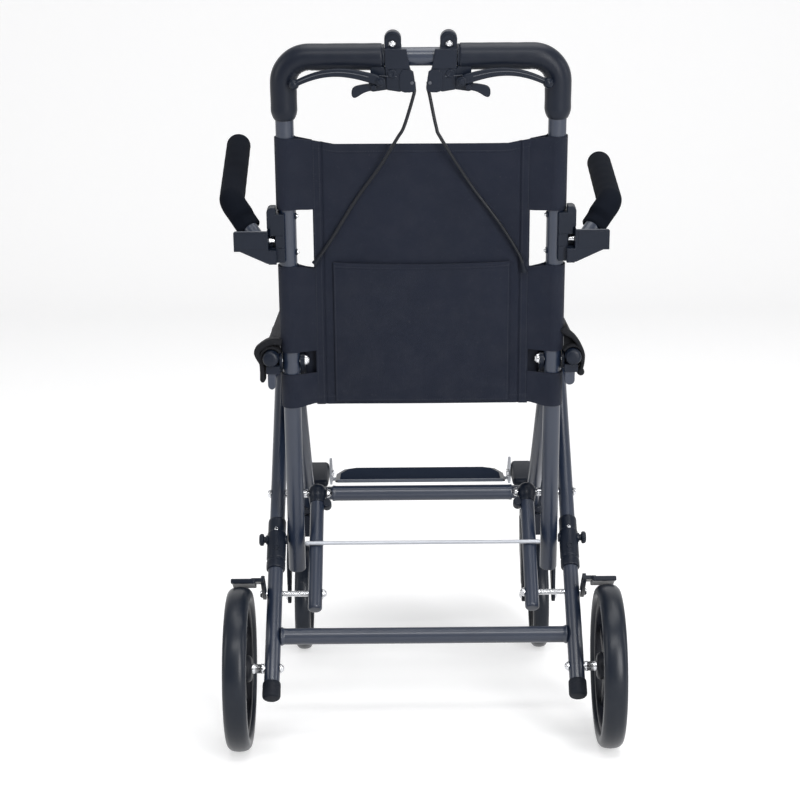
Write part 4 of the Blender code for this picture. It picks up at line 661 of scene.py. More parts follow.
tube = [(-178.5, 7), (-178.5, 9.5), (235.3, 9.5), (235.3, 7)]
spin("seat_rail_tube_*", tube, (RAIL_X, 0, RAIL_Z), ALONG, np.asarray, frame_paint, "seat_frame",
     "seat_rail_*", sides=48, cut=0.4)
plug = [(0, 7), (0, 9.8), (1.2, 10), (1.6, 9.6), (2, 10), (5, 9.8), (6.8, 8.6), (7.7, 6.2), (8, 3), (8, 0.2)]
for name, face, way in (("back", -178.56, -1), ("front", 235.44, 1)):
    spin(f"rail_plug_{name}_*", [(face + way * d, r) for d, r in plug], (RAIL_X, 0, RAIL_Z), ALONG,
         np.asarray, black_plastic, "seat_frame")
cheek = [(FOLD_Y - 11, RAIL_Z - 12.5)] + arc((FOLD_Y, FOLD_Z), 11, half_turn) + [(FOLD_Y + 11, RAIL_Z - 12.5)]
for name, low in (("inner", -LUG_HALF), ("outer", LUG_HALF - 3)):
    press(f"seat_lug_{name}_*", cheek, LEG_X + low, LEG_X + low + 3, from_side, black_plastic, "seat_frame",
          "seat_lug_*", ease=0.8)
saddle = arc((RAIL_X, RAIL_Z), 9.8, np.radians(np.linspace(200, 340, 15)))
bridge = [(LUG_HALF, -3), (LUG_HALF, -13), (11.2, -15.2), (-11.2, -15.2), (-LUG_HALF, -13), (-LUG_HALF, -3)]
saddle += [(LEG_X + a, RAIL_Z + b) for a, b in bridge]
press("seat_lug_saddle_*", saddle, FOLD_Y - 10.9, FOLD_Y + 10.9, from_rear, black_plastic, "seat_frame",
      ease=0.8)
for name, way in (("out", 1), ("in", -1)):
    knob = screw_head(LEG_X + way * LUG_HALF, 3.8, 5.7, way)
    spin(f"fold_bolt_{name}_*", knob, (0, FOLD_Y, FOLD_Z), ACROSS, np.asarray, zinc, "seat_frame", sides=28,
         cut=0.2)
spacer = [(175.2, 3.2), (175.2, 11.8), (175.4, 12.2), (178.2, 12.2), (178.8, 11.6), (178.8, 3.2)]
spin("seat_pivot_spacer_*", spacer, (0, HUB_Y, HUB_Z), ACROSS, np.asarray, black_plastic, "seat_frame",
     sides=36, cut=0.2)
end_block = [(177.6, 460.8), (178.4, 460), (193.5, 460), (194.5, 461.2), (194.5, 470), (177.6, 470)]
press("rail_end_block_*", end_block, -178.5, -164, from_rear, black_plastic, "seat_frame", ease=1.2)


def end_tab(side):
    """The painted tab under a rail's rear end: straight sides over a round foot, unlike left and right."""
    x_in, x_out, z_low = (183, 192.8, 440) if side < 0 else (177.9, 190.8, 443.5)
    foot = arc(((x_in + x_out) / 2, z_low + 6.2), (x_out - x_in) / 2, half_turn, 6.2)
    return from_rear(slab([(x_in, 461.5)] + foot + [(x_out, 461.5)], -176.5, -169)) * (side, 1, 1)


both("rail_end_tab_*", end_tab, frame_paint, "seat_frame", ease=1.6)
pin = nut_end(147, 6.2, 6, -1)[::-1] + [(147.2, 3), (198.3, 3), (198.3, 5.8)]
pin += screw_head(198.4, 3.8, 5.8, 1)[::-1]
spin("seat_pivot_pin_*", pin, (0, HUB_Y, HUB_Z), ACROSS, np.asarray, zinc, "seat_frame", "seat_pivot_bolt_*",
     sides=32, cut=0.2)


# Front legs. Each tube runs down and forward from the seat pivot, on a moulded head and a
# flat tongue; a crossbar ties the two near their feet.
FRONT_X = 160


def on_front_leg(points):
    """(x, down the front leg, square to it) to the chair's frame."""
    return leaned(points, HUB_Y * MM, HUB_Z * MM, math.radians(-40))


tube = [(66, 7), (66, 9.5), (412.5, 9.5), (413, 9), (413, 6)]
spin("front_leg_tube_*", tube, (FRONT_X, 0, 0), ALONG, on_front_leg, frame_paint, "front_frame",
     "front_leg_*", sides=48, cut=0.5)
head = [(48, 2), (48, 7), (50.5, 10), (54, 10.8), (64, 10.8), (65.8, 10.2), (65.8, 9)]
spin("front_leg_head_*", head, (FRONT_X, 0, 0), ALONG, on_front_leg, black_plastic, "front_frame", sides=44,
     cut=0.8)
tongue = arc((0, 0), 8, half_turn - math.pi / 2) + [(16, -10), (62, -9.8), (62, 9.8), (16, 10)]
press("front_leg_tongue_*", tongue, 147.3, 152.8, lambda g: on_front_leg(from_side(g)), black_plastic,
      "front_frame", ease=0.3)
crossbar("front_crossbar_tube", welded_bar(9.5, 150, 0.6), 384, on_front_leg, "front_frame", "front_crossbar")


# Caster housings and footplate. Upright moulded bearings hold the caster stems, and a
# folded plate turns up between their two knuckles; its ears carry bright pivot bolts.
SWIVEL_Y = 180.44
CASTER_X = 168
PLATE_Y = 230.44
PLATE_Z = 234.5
TRAY_NEAR = 235.44
TRAY_FAR = 355.44
TRAY_CUT = 18
TRAY_FALL = 7.5
barrel = [(188, 6), (188, 12.8), (188.8, 13.4), (195.5, 13.5), (196, 13), (198.5, 13), (199, 13.5),
          (229.5, 13.5), (232.8, 12.2), (233.8, 9.5), (232.8, 8), (233, 1)]
spin("caster_barrel_*", barrel, (CASTER_X, SWIVEL_Y, 0), UP, np.asarray, black_plastic, "front_frame",
     "caster_housing_*", sides=48)
eye = arc((PLATE_Y, 236), 14, np.linspace(-math.pi / 2, math.pi / 2, 15))
knuckle = [(SWIVEL_Y + 6, 222.5)] + eye + [(SWIVEL_Y + 6, 233)]
press("footplate_knuckle_*", knuckle, 133.6, 164, from_side, black_plastic, "front_frame", ease=6)
pin = screw_head(129.9, 3.6, 5.6, -1) + [(129.9, 6), (130.3, 6), (130.3, 3), (144, 3)]
spin("footplate_pin_*", pin, (0, PLATE_Y, PLATE_Z), ACROSS, np.asarray, zinc, "footplate_unit", sides=28,
     cut=0.2)
ear = [(-8, 228.5), (-1, 220), (9, 214), (65, 214), (65, 219), (49, 221.5), (11, 252.5), (7, 255.2),
       (3, 255.2), (-6, 242.5)]
press("footplate_ear_*", [(PLATE_Y + y, z) for y, z in ear], 129.6, 133.1, from_side, brushed,
      "footplate_unit", ease=0.4)
fixing = [(125, 4), (125, 3), (130.2, 3), (130.2, 2.8)]
spin("footplate_fixing_*", fixing, (0, TRAY_NEAR + 28, 216.5), ACROSS, np.asarray, zinc, "footplate_unit",
     sides=20, cut=0.2)


def tray_outline(inset):
    """The plate seen from above: square near corners, long bevels at the far ones, drawn in by inset."""
    half = 125.5 - inset
    bevel = 115 - inset
    right = [(half, TRAY_NEAR + 8 + inset), (half, TRAY_FAR - 3 * TRAY_CUT),
             (bevel, TRAY_FAR - 0.8 * TRAY_CUT - 0.4 * inset),
             (bevel + 0.6 * inset - TRAY_CUT, TRAY_FAR - inset)]
    return right + [(-x, y) for x, y in right[::-1]]


def sloped(points):
    """The tray falls by TRAY_FALL, evenly, from its near edge to its far one."""
    share = (points[..., 1] / MM - TRAY_NEAR) / (TRAY_FAR - TRAY_NEAR)
    return points - np.stack([0 * share, 0 * share, TRAY_FALL * MM * share], -1)


add("footplate_tray", sloped(slab(tray_outline(0), 216.6, 219.4)), (black_plastic[0], "frame_paint"),
    "footplate_unit", "footplate", ease=1)
mat_rubber = hard_finish("matte_mat_rubber", "black_plastic", (0.010, 0.015, 0.028), (0.018, 0.025, 0.042),
                         0.80, fine=700.0, depth=0.05, dust=0.0, gloss=0.2)
mat_rubber[0].node_tree.nodes["Principled BSDF"].inputs["IOR"].default_value = 1.08
add("footplate_mat", sloped(slab(tray_outline(6.5), 219.2, 220.4)), mat_rubber, "footplate_unit", ease=0.4)
# The lip's pale grey stands for the light on the tray's near edge: a painted highlight over the frame paint.
lip_highlight_paint = hard_finish("painted_highlight_lip_paint", "frame_paint", (0.10, 0.12, 0.16), (0.16, 0.18, 0.22), 0.34,
                        fine=1500.0, depth=0.012, dust=0.02, gloss=0.6)
lip = [(-122.5, 6.8), (122.5, 6.8), (122.5, 9.6), (-122.5, 9.6)]
add("footplate_lip", sloped(slab([(x, TRAY_NEAR + y) for x, y in lip], 216.4, 221.2)), lip_highlight_paint,
    "footplate_unit", ease=1)


# Casters. Forks moulded in one piece trail behind their stems, and 150 mm wheels with
# smooth grey-black tyres run between their blades.
TIP_Y = SWIVEL_Y - 45
TIP_Z = 75


def caster_plate(name, outline, low, high, ease, *nodes):
    """A plate of each fork, from low to high across the caster's own middle."""
    both(name, lambda side: from_side(slab(outline, side * CASTER_X + low, side * CASTER_X + high)),
         black_plastic, "caster_swivel_*", *nodes, ease=ease)


foot = arc((TIP_Y, TIP_Z), 10, np.radians(np.linspace(165, 355, 15)))
leaf = [(SWIVEL_Y + 16.5, 186.8), (SWIVEL_Y - 16.5, 186.8), (TIP_Y - 7.5, 128)] + foot
leaf += [(SWIVEL_Y + 4, 123), (SWIVEL_Y + 16.5, 157)]
lift = [(54.5, 178), (34, 178), (-2, 126), (3, 90), (13, 100), (43, 130), (54.5, 162)]
for name, low, high, way in (("left", -24, -19, -1), ("right", 19, 24, 1)):
    caster_plate(f"fork_blade_{name}_*", leaf, low, high, 1.2, "caster_fork_*")
    cap = [(way * (24 + d), r) for d, r in screw_head(0, 3, 5.6, 1)]
    both(f"caster_bolt_{name}_*", lambda side: turned(cap, (side * CASTER_X, TIP_Y, TIP_Z), ACROSS, 28, 0.2),
         zinc, "caster_swivel_*")
    caster_plate(f"fork_rib_{name}_*", [(TIP_Y + y, z) for y, z in lift], way * 23.4, way * 25, 0.7)
crown = [(16.8, 186.8), (-16.8, 186.8), (-23, 157), (16.8, 157)]
caster_plate("fork_crown_*", [(SWIVEL_Y + y, z) for y, z in crown], -20, 20, 1.8)
stem = [(186, 8), (187.8, 8), (187.8, 5), (224, 5), (224, 3)]
spin("caster_stem_*", stem, (CASTER_X, SWIVEL_Y, 0), UP, np.asarray, zinc, "caster_swivel_*", sides=24,
     cut=0.2)
tread = tyre_loop(11, 75, 15, 36)
both("caster_tyre_*", lambda side: wheel_ring(tread, side * CASTER_X, TIP_Y, TIP_Z, 96), tyre_finish,
     "caster_wheel_*", "caster_wheel_*", looped=True)
half_disc = [(-13, 4), (-13, 12), (-11.2, 14.2), (-6.2, 16.5), (-3.8, 21), (-3.6, 48), (-5.2, 56),
             (-7.8, 58.5), (-8.2, 62.5)]
disc = np.transpose(half_disc + [(-d, r) for d, r in half_disc[::-1]])
both("caster_disc_*", lambda side: wheel_ring(disc, side * CASTER_X, TIP_Y, TIP_Z, 72), rim_finish,
     "caster_wheel_*", looped=True)


# Push handle. One 22 mm tube forms both canes and the bar across their tops; small plugs
# close the canes' feet. The handle's paths and the cloth's formulas are in metres.
CANE_X = 0.164
CANE_R = 0.011
BAR_W = 0.383
CORNER_R = 0.031
RECLINE = math.radians(9.77)


def on_back(points):
    """(x, square to the back, up the canes) to the chair's frame."""
    return leaned(points, HUB_Y * MM, HUB_Z * MM, RECLINE)


def headed(steps):
    """Unit directions along a path given by its points."""
    ahead = np.gradient(steps, axis=0)
    return ahead / np.linalg.norm(ahead, axis=1)[:, None]


def hosed(path, radii, flat, sides=44):
    """Rings along a bent path: p + r (cos t a + sin t b), a = tangent x flat, b = a x tangent."""
    p = np.asarray(path, float)
    ahead = headed(p)
    a = np.cross(ahead, np.array(flat, float))
    a /= np.linalg.norm(a, axis=1)[:, None]
    b = np.cross(a, ahead)
    t = (np.arange(sides) * 2 * math.pi / sides)[None, :, None]
    radii = np.broadcast_to(radii, len(p))[:, None, None]
    return p[:, None] + radii * (np.cos(t) * a[:, None] + np.sin(t) * b[:, None])


def handle_corner(side, steps=25):
    """The bend at a cane's top: (x, 0, w) on a quarter circle of CORNER_R, from the cane to the bar."""
    t = np.linspace(0, math.pi / 2, steps)
    x = CANE_X - CORNER_R + CORNER_R * np.cos(t)
    return np.stack([side * x, 0 * t, BAR_W - CORNER_R + CORNER_R * np.sin(t)], -1)


cane = [(CANE_X, 0, w) for w in (-0.2905, -0.2900, -0.2890, -0.10, 0.10, 0.30, 0.340)]
right_half = np.vstack([cane, handle_corner(1), [(0.09, 0, BAR_W)]])
bar_path = np.vstack([right_half, [(0.0, 0, BAR_W)], right_half[::-1] * (-1, 1, 1)])
bar_radii = np.full(len(bar_path), CANE_R)
bar_radii[[0, -1]] = 0.0098
bar_radii[[1, -2]] = 0.0107
add("push_handle_tube", on_back(hosed(bar_path, bar_radii, ALONG, 56)), frame_paint, "back_frame",
    "push_handle_frame")
foot = [(-292.2, 0.4), (-292, 7), (-291.4, 9.2), (-290.5, 9.8), (-288, 9.8)]
spin("cane_plug_*", foot, (CANE_X / MM, 0, 0), UP, on_back, black_plastic, "back_frame", sides=36, cut=0.4)


# Foam grips. Black closed-cell foam pulled over the handle's corners; the lower end is
# necked down, fine creases gather inside the bend, and a thin collar closes the inner end.
GRIP_R = 0.0160
GRIP_FOOT = 0.308
GRIP_END = 0.046
foam = hard_finish("foam_skin", "foam", (0.003, 0.005, 0.012), (0.006, 0.010, 0.020), 0.40, fine=1500.0,
                   depth=0.08, rub=0.70, dust=0.02, spread=0.08, gloss=0.24)
foam_shader = foam[0].node_tree.nodes["Principled BSDF"].inputs
foam_shader["Sheen Weight"].default_value = 0.05
foam_shader["Sheen Roughness"].default_value = 0.45


def creased(rings, centre, run, first, last, depth, pitch, heart):
    """Rings drawn in towards their path on the side of heart, between two places along the run."""
    toward = heart - centre
    toward /= np.linalg.norm(toward, axis=1)[:, None]
    arm = rings - centre[:, None]
    reach = np.linalg.norm(arm, axis=2, keepdims=True)
    facing = np.clip((arm / reach * toward[:, None]).sum(2), 0, 1) ** 1.5
    window = np.clip((run - first) / 0.012, 0, 1) * np.clip((last - run) / 0.012, 0, 1)
    wave = 0.5 + 0.5 * np.cos(2 * math.pi * run / pitch + 0.8 * np.sin(2 * math.pi * run / (pitch * 3.3)))
    return centre[:, None] + arm * (1 - depth * (facing * (window * wave)[:, None])[..., None])


def run_of(path):
    """Distance along a path, from its first point."""
    return np.concatenate([[0], np.cumsum(np.linalg.norm(np.diff(path, axis=0), axis=1))])


def evened(path, step, least=2):
    """The same path with points at even steps."""
    run = run_of(path)
    even = np.linspace(0, run[-1], max(least, round(run[-1] / step)) + 1)
    return np.stack([np.interp(even, run, path[:, k]) for k in range(path.shape[1])], -1)


def foam_grip(side):
    """The grip's skin from its necked foot round the corner to its inner end, and back as a bore."""
    path = np.vstack([[(side * CANE_X, 0, GRIP_FOOT)], handle_corner(side, 60),
                      [(side * GRIP_END, 0, BAR_W)]])
    path = evened(path, 0.0011)
    run = run_of(path)
    neck = 0.0042 * (1 - np.clip(run / 0.0125, 0, 1) ** 0.8) ** 1.6
    end = 0.0007 * (1 - np.clip((run[-1] - run) / 0.0015, 0, 1)) ** 2
    shell = hosed(path, GRIP_R - neck - end + 0.00010 * np.sin(run * 210) * np.sin(run * 71), ALONG, 56)
    heart = (side * (CANE_X - CORNER_R - 0.010), 0, BAR_W - CORNER_R - 0.010)
    shell = creased(shell, path, run, 0.034, 0.104, 0.034, 0.0062, heart)
    return on_back(np.concatenate([shell, hosed(path, CANE_R + 0.00025, ALONG, 56)[::-1]]))


for grip in both("foam_grip_*", foam_grip, foam, "back_frame", "handle_grip_*", looped=True):
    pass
collar = [(45.7, 11.2), (45.7, 14.6), (45.2, 15), (44, 15), (43.5, 14.6), (43.5, 11.2)]
spin("grip_collar_*", collar, (0, 0, BAR_W / MM), ACROSS, on_back, black_plastic, "back_frame", sides=44,
     cut=0.2)


# Back cloth. A dense navy-black weave stretched between the canes: one panel with folded
# hems and a sewn strip down each side, and sleeves that turn round the canes between the
# openings. It is pulled taut, so it is modelled as it lies rather than dropped by gravity.
PANEL_X = 0.1326
SEAM_X = 0.1316
CLOTH_TOP = 0.2775
CLOTH_FOOT = -0.0585
SLEEVE_R = 0.0131
PULLS = (
    (1, 0.126, 0.50, 0.0005), (-1, 0.126, 0.55, 0.0004), (1, 0.195, -0.35, 0.0003),
    (-1, 0.195, -0.40, 0.00035), (1, -0.020, 0.3, 0.0004), (-1, 0.009, -0.3, 0.0004),
)


def rise(value, low, high):
    """Smooth step from 0 to 1 between low and high."""
    t = np.clip((value - low) / (high - low), 0, 1)
    return t * t * (3 - 2 * t)


def bell(value, middle, width):
    """A bump of height 1 at middle that falls off over width."""
    return np.exp(-((value - middle) / width) ** 2)


def top_lift(x):
    """How far the cloth's top edge climbs from the middle towards the canes."""
    return 0.0092 * np.clip((np.abs(x) - 0.105) / 0.048, 0, 1)


def panel_depth(x, w):
    """Rear face of the panel: slow swells, pulls from the openings, hems and sewn side strips.

    A pull is (side, height where it starts, slope, strength): a ripple that fades inwards.
    """
    a = np.abs(x)
    swell = 0.0011 * np.cos(math.pi * x / 0.30) * np.sin(2 * math.pi * (w + 0.05) / 0.44)
    swell = swell + 0.0005 * np.sin(2 * math.pi * (w * 5.1 + x * 3.4))
    folds = 0
    for side, start, slope, strength in PULLS:
        inward = PANEL_X - side * x
        off = w - start - slope * inward
        folds = folds + strength * np.exp(-inward / 0.045) * bell(off, 0, 0.010) * np.cos(off * 420)
    groove = 0.0010 * bell(a, 0.1205, 0.0013)
    strip = 0.0009 * rise(a, 0.1212, 0.1226)
    top = CLOTH_TOP + top_lift(x) - w
    foot = w - CLOTH_FOOT
    hem = 0.0006 * (2 - rise(top, 0.0100, 0.0110) - rise(foot, 0.0115, 0.0125))
    sewn = 0.0003 * (bell(top, 0.0088, 0.0007) + bell(foot, 0.0102, 0.0007))
    return swell * (1 - 0.8 * rise(a, 0.08, 0.12)) + folds + groove - strip - hem + sewn


def weave_of(tree, given):
    """Plain weave in UV metres: warp over weft by turns, each thread a half wave.
    """
    scaled = node(tree, "VectorMath", {0: given["Vector"], "Scale": given["Threads"]}, operation="SCALE")
    threads = scaled.outputs["Vector"]
    parts = node(tree, "SeparateXYZ", {0: threads}).outputs
    plain = {"Vector": threads, "Scale": 1.0, "Color1": (1, 1, 1, 1), "Color2": (0, 0, 0, 1)}
    over = node(tree, "TexChecker", plain).outputs["Fac"]
    waves = []
    for axis in ("X", "Y"):
        wave = node(tree, "Math", {0: reckoned(tree, "MULTIPLY", parts[axis], math.pi)},
                    operation="SINE").outputs[0]
        waves.append(reckoned(tree, "MULTIPLY", wave, wave))
    height = node(tree, "Mix", {0: over, 2: waves[0], 3: waves[1]}, data_type="FLOAT").outputs[0]
    return height, over


WEAVE = effect("plain_weave", {"Threads": 1500.0}, ("Height", "Over"), weave_of)


def woven_finish(name, slot, colour, light, threads, rough, sheen, depth=0.16):
    """Cloth or webbing: two tones in slow drift, painted shade in the weave's hollows, lint here and there.
    """
    plain = {"Sheen Weight": sheen, "Sheen Roughness": 0.35, "Specular IOR Level": 0.20}
    material, tree, shader, coords = new_finish(name, plain)
    where = coords["Object"]
    cloth = node(tree, "Group", {"Vector": coords["UV"], "Threads": threads}, node_tree=WEAVE)
    grain = node(tree, "Group", {"Vector": where, "Fine": 420.0, "Slow": 9.0}, node_tree=GRAIN)
    tones = mixed(tree, grain.outputs["Drift"], (*colour, 1), (*light, 1))
    # Painted shade: the tone darkens where the weave's height is low, between the threads.
    thread_light = ranged(tree, cloth.outputs["Height"], 0.0, 1.0, 0.62, 1.12)
    shaded = node(tree, "VectorMath", {0: tones, "Scale": thread_light}, operation="SCALE").outputs["Vector"]
    lint = ranged(tree, grain.outputs["Height"], 0.66, 0.80, 0.0, 0.10)
    dust = node(tree, "Group", {"Vector": where, "Top": 1.2, "Amount": 0.05}, node_tree=DUST)
    pale = reckoned(tree, "ADD", lint, dust.outputs["Mask"])
    tree.links.new(mixed(tree, pale, shaded, (0.20, 0.20, 0.22, 1)), shader["Base Color"])
    drift = ranged(tree, grain.outputs["Drift"], 0.0, 1.0, rough - 0.06, rough + 0.06)
    tree.links.new(drift, shader["Roughness"])
    raised = {"Height": cloth.outputs["Height"], "Strength": 0.6, "Distance": depth * MM}
    threads_up = node(tree, "Bump", raised).outputs["Normal"]
    slow = {"Height": grain.outputs["Drift"], "Strength": 0.35, "Distance": 0.004, "Normal": threads_up}
    tree.links.new(node(tree, "Bump", slow).outputs["Normal"], shader["Normal"])
    return material, slot


def thick(piece, amount):
    """Gives a single sheet its thickness."""
    cloth = piece.modifiers.new("cloth_thickness", "SOLIDIFY")
    cloth.thickness = amount
    cloth.offset = 0.0
    cloth.use_even_offset = False
    return piece


navy = woven_finish("navy_oxford_cloth", "cloth", (0.006, 0.009, 0.019), (0.011, 0.015, 0.030), 1500.0, 0.70,
                    0.05)
u, v = np.meshgrid(np.linspace(-1, 1, 241), np.linspace(0, 1, 301))
x = PANEL_X * u
w = CLOTH_FOOT + v * (CLOTH_TOP + top_lift(x) - CLOTH_FOOT)
grid = on_back(np.stack([x, panel_depth(x, w), w], -1))
panel = thick(add("back_panel", grid, navy, "back_frame", "back_cloth", closed=False), 0.0022)


def from_behind(grid):
    """(x, w, n) outlines, as seen from behind the chair, to the chair's frame."""
    return on_back(grid[..., [0, 2, 1]])


def oblong(a, b, c, d):
    """The corners of a rectangle from a to b across and from c to d up."""
    return [(a, c), (b, c), (b, d), (a, d)]


press("cloth_lining_*", oblong(133, 146.6, -34.5, 16.5), 7.4, 8.4, from_behind, navy, "back_frame", ease=0.3)
press("cloth_lining_top_*", oblong(144, 155, -1, 20.5), 11.2, 12.2, from_behind, navy, "back_frame", ease=0.3)


def folded(depth, radius, stop, closed, count=60):
    """(x, n) of one face of a sleeve: a line from the seam, an arc round the cane, and back if closed."""
    off = CANE_X - SEAM_X
    lean = math.atan2(depth, off) + math.asin(radius / math.hypot(off, depth))
    t = np.linspace(-(math.pi / 2 + lean), stop, count)
    circle = np.stack([CANE_X + radius * np.cos(t), radius * np.sin(t)], -1)
    line = np.linspace((SEAM_X, -depth), circle[0], 14)[:-1]
    back = np.linspace(circle[-1], (SEAM_X, depth), 14)[1:] if closed else circle[:0]
    return np.vstack([line, circle, back])


def sleeve(side, low, high, open_front):
    """The band round a cane between two edges, each a height that changes with x."""
    stop = math.radians(147 if open_front else 165)
    outer = folded(0.0024, SLEEVE_R, stop, not open_front)
    inner = folded(0.0013, 0.01155, stop, not open_front)
    x, n = (np.vstack([outer, inner[::-1]]) * (side, 1)).T
    w = low(x) + np.linspace(0, 1, 40)[:, None] * (high(x) - low(x))
    crease = 0.00035 * np.sin(w * 95 + side) * bell(np.abs(x), 0.145, 0.008) * np.sign(n)
    return on_back(np.stack([np.broadcast_to(x, w.shape), n + crease, w], -1))


def band_edge(height, lift=0):
    """An edge at a height that climbs by lift from the cane to the panel."""
    return lambda x: height + lift * (1 - rise(np.abs(x), 0.134, 0.156))


def top_band(side):
    """The uppermost sleeve; its lower edge sits a little higher on the left."""
    low = band_edge(0.1980 if side < 0 else 0.1955, -0.0015)
    return sleeve(side, low, lambda x: CLOTH_TOP + top_lift(x), False)


both("cloth_sleeve_top_*", top_band, navy, "back_frame")
for name, low, high, open_front in (
    ("middle", band_edge(0.0405), band_edge(0.1257, -0.0042), False),
    ("hip", band_edge(0.0138), band_edge(0.0405), True),
    ("lap", band_edge(-0.0340), band_edge(-0.0156), True),
    ("foot", band_edge(-0.0600, 0.0032), band_edge(-0.0340), False),
):
    both(f"cloth_sleeve_{name}_*", lambda side: sleeve(side, low, high, open_front), navy, "back_frame")

POCKET_X = 0.109
POCKET_FOOT = -0.055


def pocket_top(x):
    """The pocket's mouth hangs a little lower in its middle."""
    return 0.1262 + 0.0030 * (x / POCKET_X) ** 2


def pocket_depth(x, w):
    """Rear face of the pocket: sewn flat at three edges, slack in the middle, hemmed at its mouth."""
    slack = rise(np.minimum(POCKET_X - np.abs(x), w - POCKET_FOOT), 0.0, 0.020)
    mouth = pocket_top(x) - w
    hem = 0.0006 * (1 - rise(mouth, 0.0062, 0.0070)) - 0.0005 * bell(mouth, 0.0052, 0.0006)
    ripple = 0.0004 * np.sin(2 * math.pi * (x * 6.0 + w * 2.0)) * slack * np.exp(-mouth / 0.05)
    return -0.0027 - 0.0010 * slack - hem + ripple


x = POCKET_X * u
w = POCKET_FOOT + v * (pocket_top(x) - POCKET_FOOT)
grid = on_back(np.stack([x, pocket_depth(x, w), w], -1)[::2])
pocket = thick(add("back_pocket", grid, navy, "back_frame", closed=False), 0.0010)

STITCH_LONG = 0.0021
STITCH_HALF = 0.00030
STITCH_HIGH = 0.00022
STITCH_SHAPE = np.array([
    (-1, 0, 0), (-0.55, 1, 0), (0.55, 1, 0), (1, 0, 0), (0.55, -1, 0), (-0.55, -1, 0), (-0.6, 0, 1),
    (0.6, 0, 1),
])
STITCH_FACES = np.array([(0, 6, 5, 5), (0, 1, 6, 6), (1, 2, 7, 6), (2, 3, 7, 7), (3, 4, 7, 7), (4, 5, 6, 7)])


def beside(path):
    """Unit directions square to a flat path, on its left."""
    ahead = headed(path)
    return np.stack([-ahead[:, 1], ahead[:, 0]], -1)


def stitches(name, body, lines, depth, place=on_back):
    """Rows of thread along (x, w) lines: each stitch a small ridged bead on the face depth(x, w)."""
    beads = []
    for line in lines:
        even = evened(np.array(line, float), 0.0032)
        flat = even[:, None] + STITCH_SHAPE[:, :1] * headed(even)[:, None] * STITCH_LONG / 2
        flat = flat + STITCH_SHAPE[:, 1:2] * beside(even)[:, None] * STITCH_HALF
        beads.append(np.concatenate([flat, np.broadcast_to(STITCH_SHAPE[:, 2:], (*flat.shape[:2], 1))], -1))
    bead = np.concatenate(beads)
    n = depth(bead[..., 0], bead[..., 1]) - 0.00005 - STITCH_HIGH * bead[..., 2]
    index = (np.arange(len(bead)) * len(STITCH_SHAPE))[:, None, None] + STITCH_FACES
    faces = [list(dict.fromkeys(face)) for face in index.reshape(-1, 4).tolist()]
    fit(mesh_object(name, place(np.stack([bead[..., 0], n, bead[..., 1]], -1)), faces), thread, body)


def seam(x, w):
    """A line of sewing along x at heights w, as (x, w) points."""
    return np.stack([x, 0 * x + w], -1)


thread = hard_finish("sewing_thread", "cloth", (0.018, 0.021, 0.030), (0.030, 0.034, 0.046), 0.55,
                     fine=2400.0, depth=0.03, dust=0.05, gloss=0.25)
span = np.linspace(-0.1300, 0.1300, 60)
lines = [seam(span, CLOTH_TOP + top_lift(span) - 0.0088), seam(span, CLOTH_FOOT + 0.0102)]
lines += [[(x, CLOTH_FOOT + 0.002), (x, CLOTH_TOP - 0.001)] for x in (0.1236, 0.1304, -0.1236, -0.1304)]
stitches("panel_stitches", "back_frame", lines, lambda x, w: panel_depth(x, w) - 0.0011)
span = np.linspace(-0.1055, 0.1055, 50)
lines = [seam(span, pocket_top(span) - 0.0052)]
lines += [[(-0.1072, 0.125), (-0.1072, -0.0530), (0.1072, -0.0530), (0.1072, 0.125)]]
stitches("pocket_stitches", "back_frame", lines, lambda x, w: pocket_depth(x, w) - 0.0005)


# Armrest brackets. A moulded channel grips each cane from outside; the open clevis on it
# holds the armrest's eye on a flared bolt, and two screws end on the cane's inner side.
# Paler grey for thin edge strips and the cable nuts: a painted highlight, with rubbed wear noise in it.
painted_highlight_edge = hard_finish("painted_highlight_moulded_edge", "black_plastic", (0.030, 0.034, 0.044),
                          (0.070, 0.077, 0.096), 0.34, fine=1200.0, depth=0.03, rub=0.60, dust=0.04)
outer = [(167, -15.2), (184.5, -15.2), (186.8, -13), (186.8, 10.8), (184.5, 13), (167, 13)]
cut = [(167, -15.2), (178.5, -15.2), (178.5, -8.5), (186.8, -8.5)] + outer[3:]
bore = arc((CANE_X / MM, 0), 11.3, np.radians(np.linspace(74.6, -74.6, 23)))
press("arm_channel_low_*", outer + bore, 132.6, 151.2, on_back, black_plastic, "back_frame",
      "armrest_bracket_*")
press("arm_channel_middle_*", cut + bore, 151.2, 166.8, on_back, black_plastic, "back_frame", ease=0.5)
press("arm_channel_high_*", outer + bore, 166.8, 193.8, on_back, black_plastic, "back_frame")


def moulded(rows, finish=black_plastic, body="back_frame"):
    """Plates of the back seen from behind; a row is name, outline, from n, to n and edge radius."""
    for name, outline, low, high, ease in rows:
        press(name + "_*", outline, low, high, from_behind, finish, body, ease=ease)


cheek = [(177.4, 175.5), (188.4, 175.5), (188.4, 196.5), (186.8, 200.2), (183.8, 201.8), (177.4, 201.8)]
rear = [(178, 132.8), (189, 134.2), (221.5, 149.5), (228.8, 149.5), (228.8, 173.5), (226.8, 175.2),
        (186.8, 175.2), (186.8, 151), (178, 151)]
face = [(190.5, 153), (226, 153), (226, 171.8), (224.6, 172.8), (190.5, 172.8)]
floor = [(186.8, 134.5), (189, 134.5), (215, 146.6), (215, 147.4), (186.8, 147.4)]
wall_out = [(222.6, 150), (228.8, 150), (228.8, 164), (227.6, 165.6), (222.6, 165.6)]
moulded((
    ("arm_channel_web", oblong(177, 187, 132.8, 151), -23.6, -14.8, 0.6),
    ("arm_cheek", cheek, -15, 1.5, 0.9),
    ("clevis_rear", rear, -24.3, -21.1, 0.8),
    ("clevis_panel", face, -24.9, -23.8, 0.4),
    ("clevis_floor", floor, -21.5, 11.8, 0.5),
    ("clevis_wall_out", wall_out, -21.5, 11.8, 0.7),
    ("clevis_wall_in", oblong(186.8, 188.1, 134.5, 175.2), -21.5, 11.8, 0.4),
))
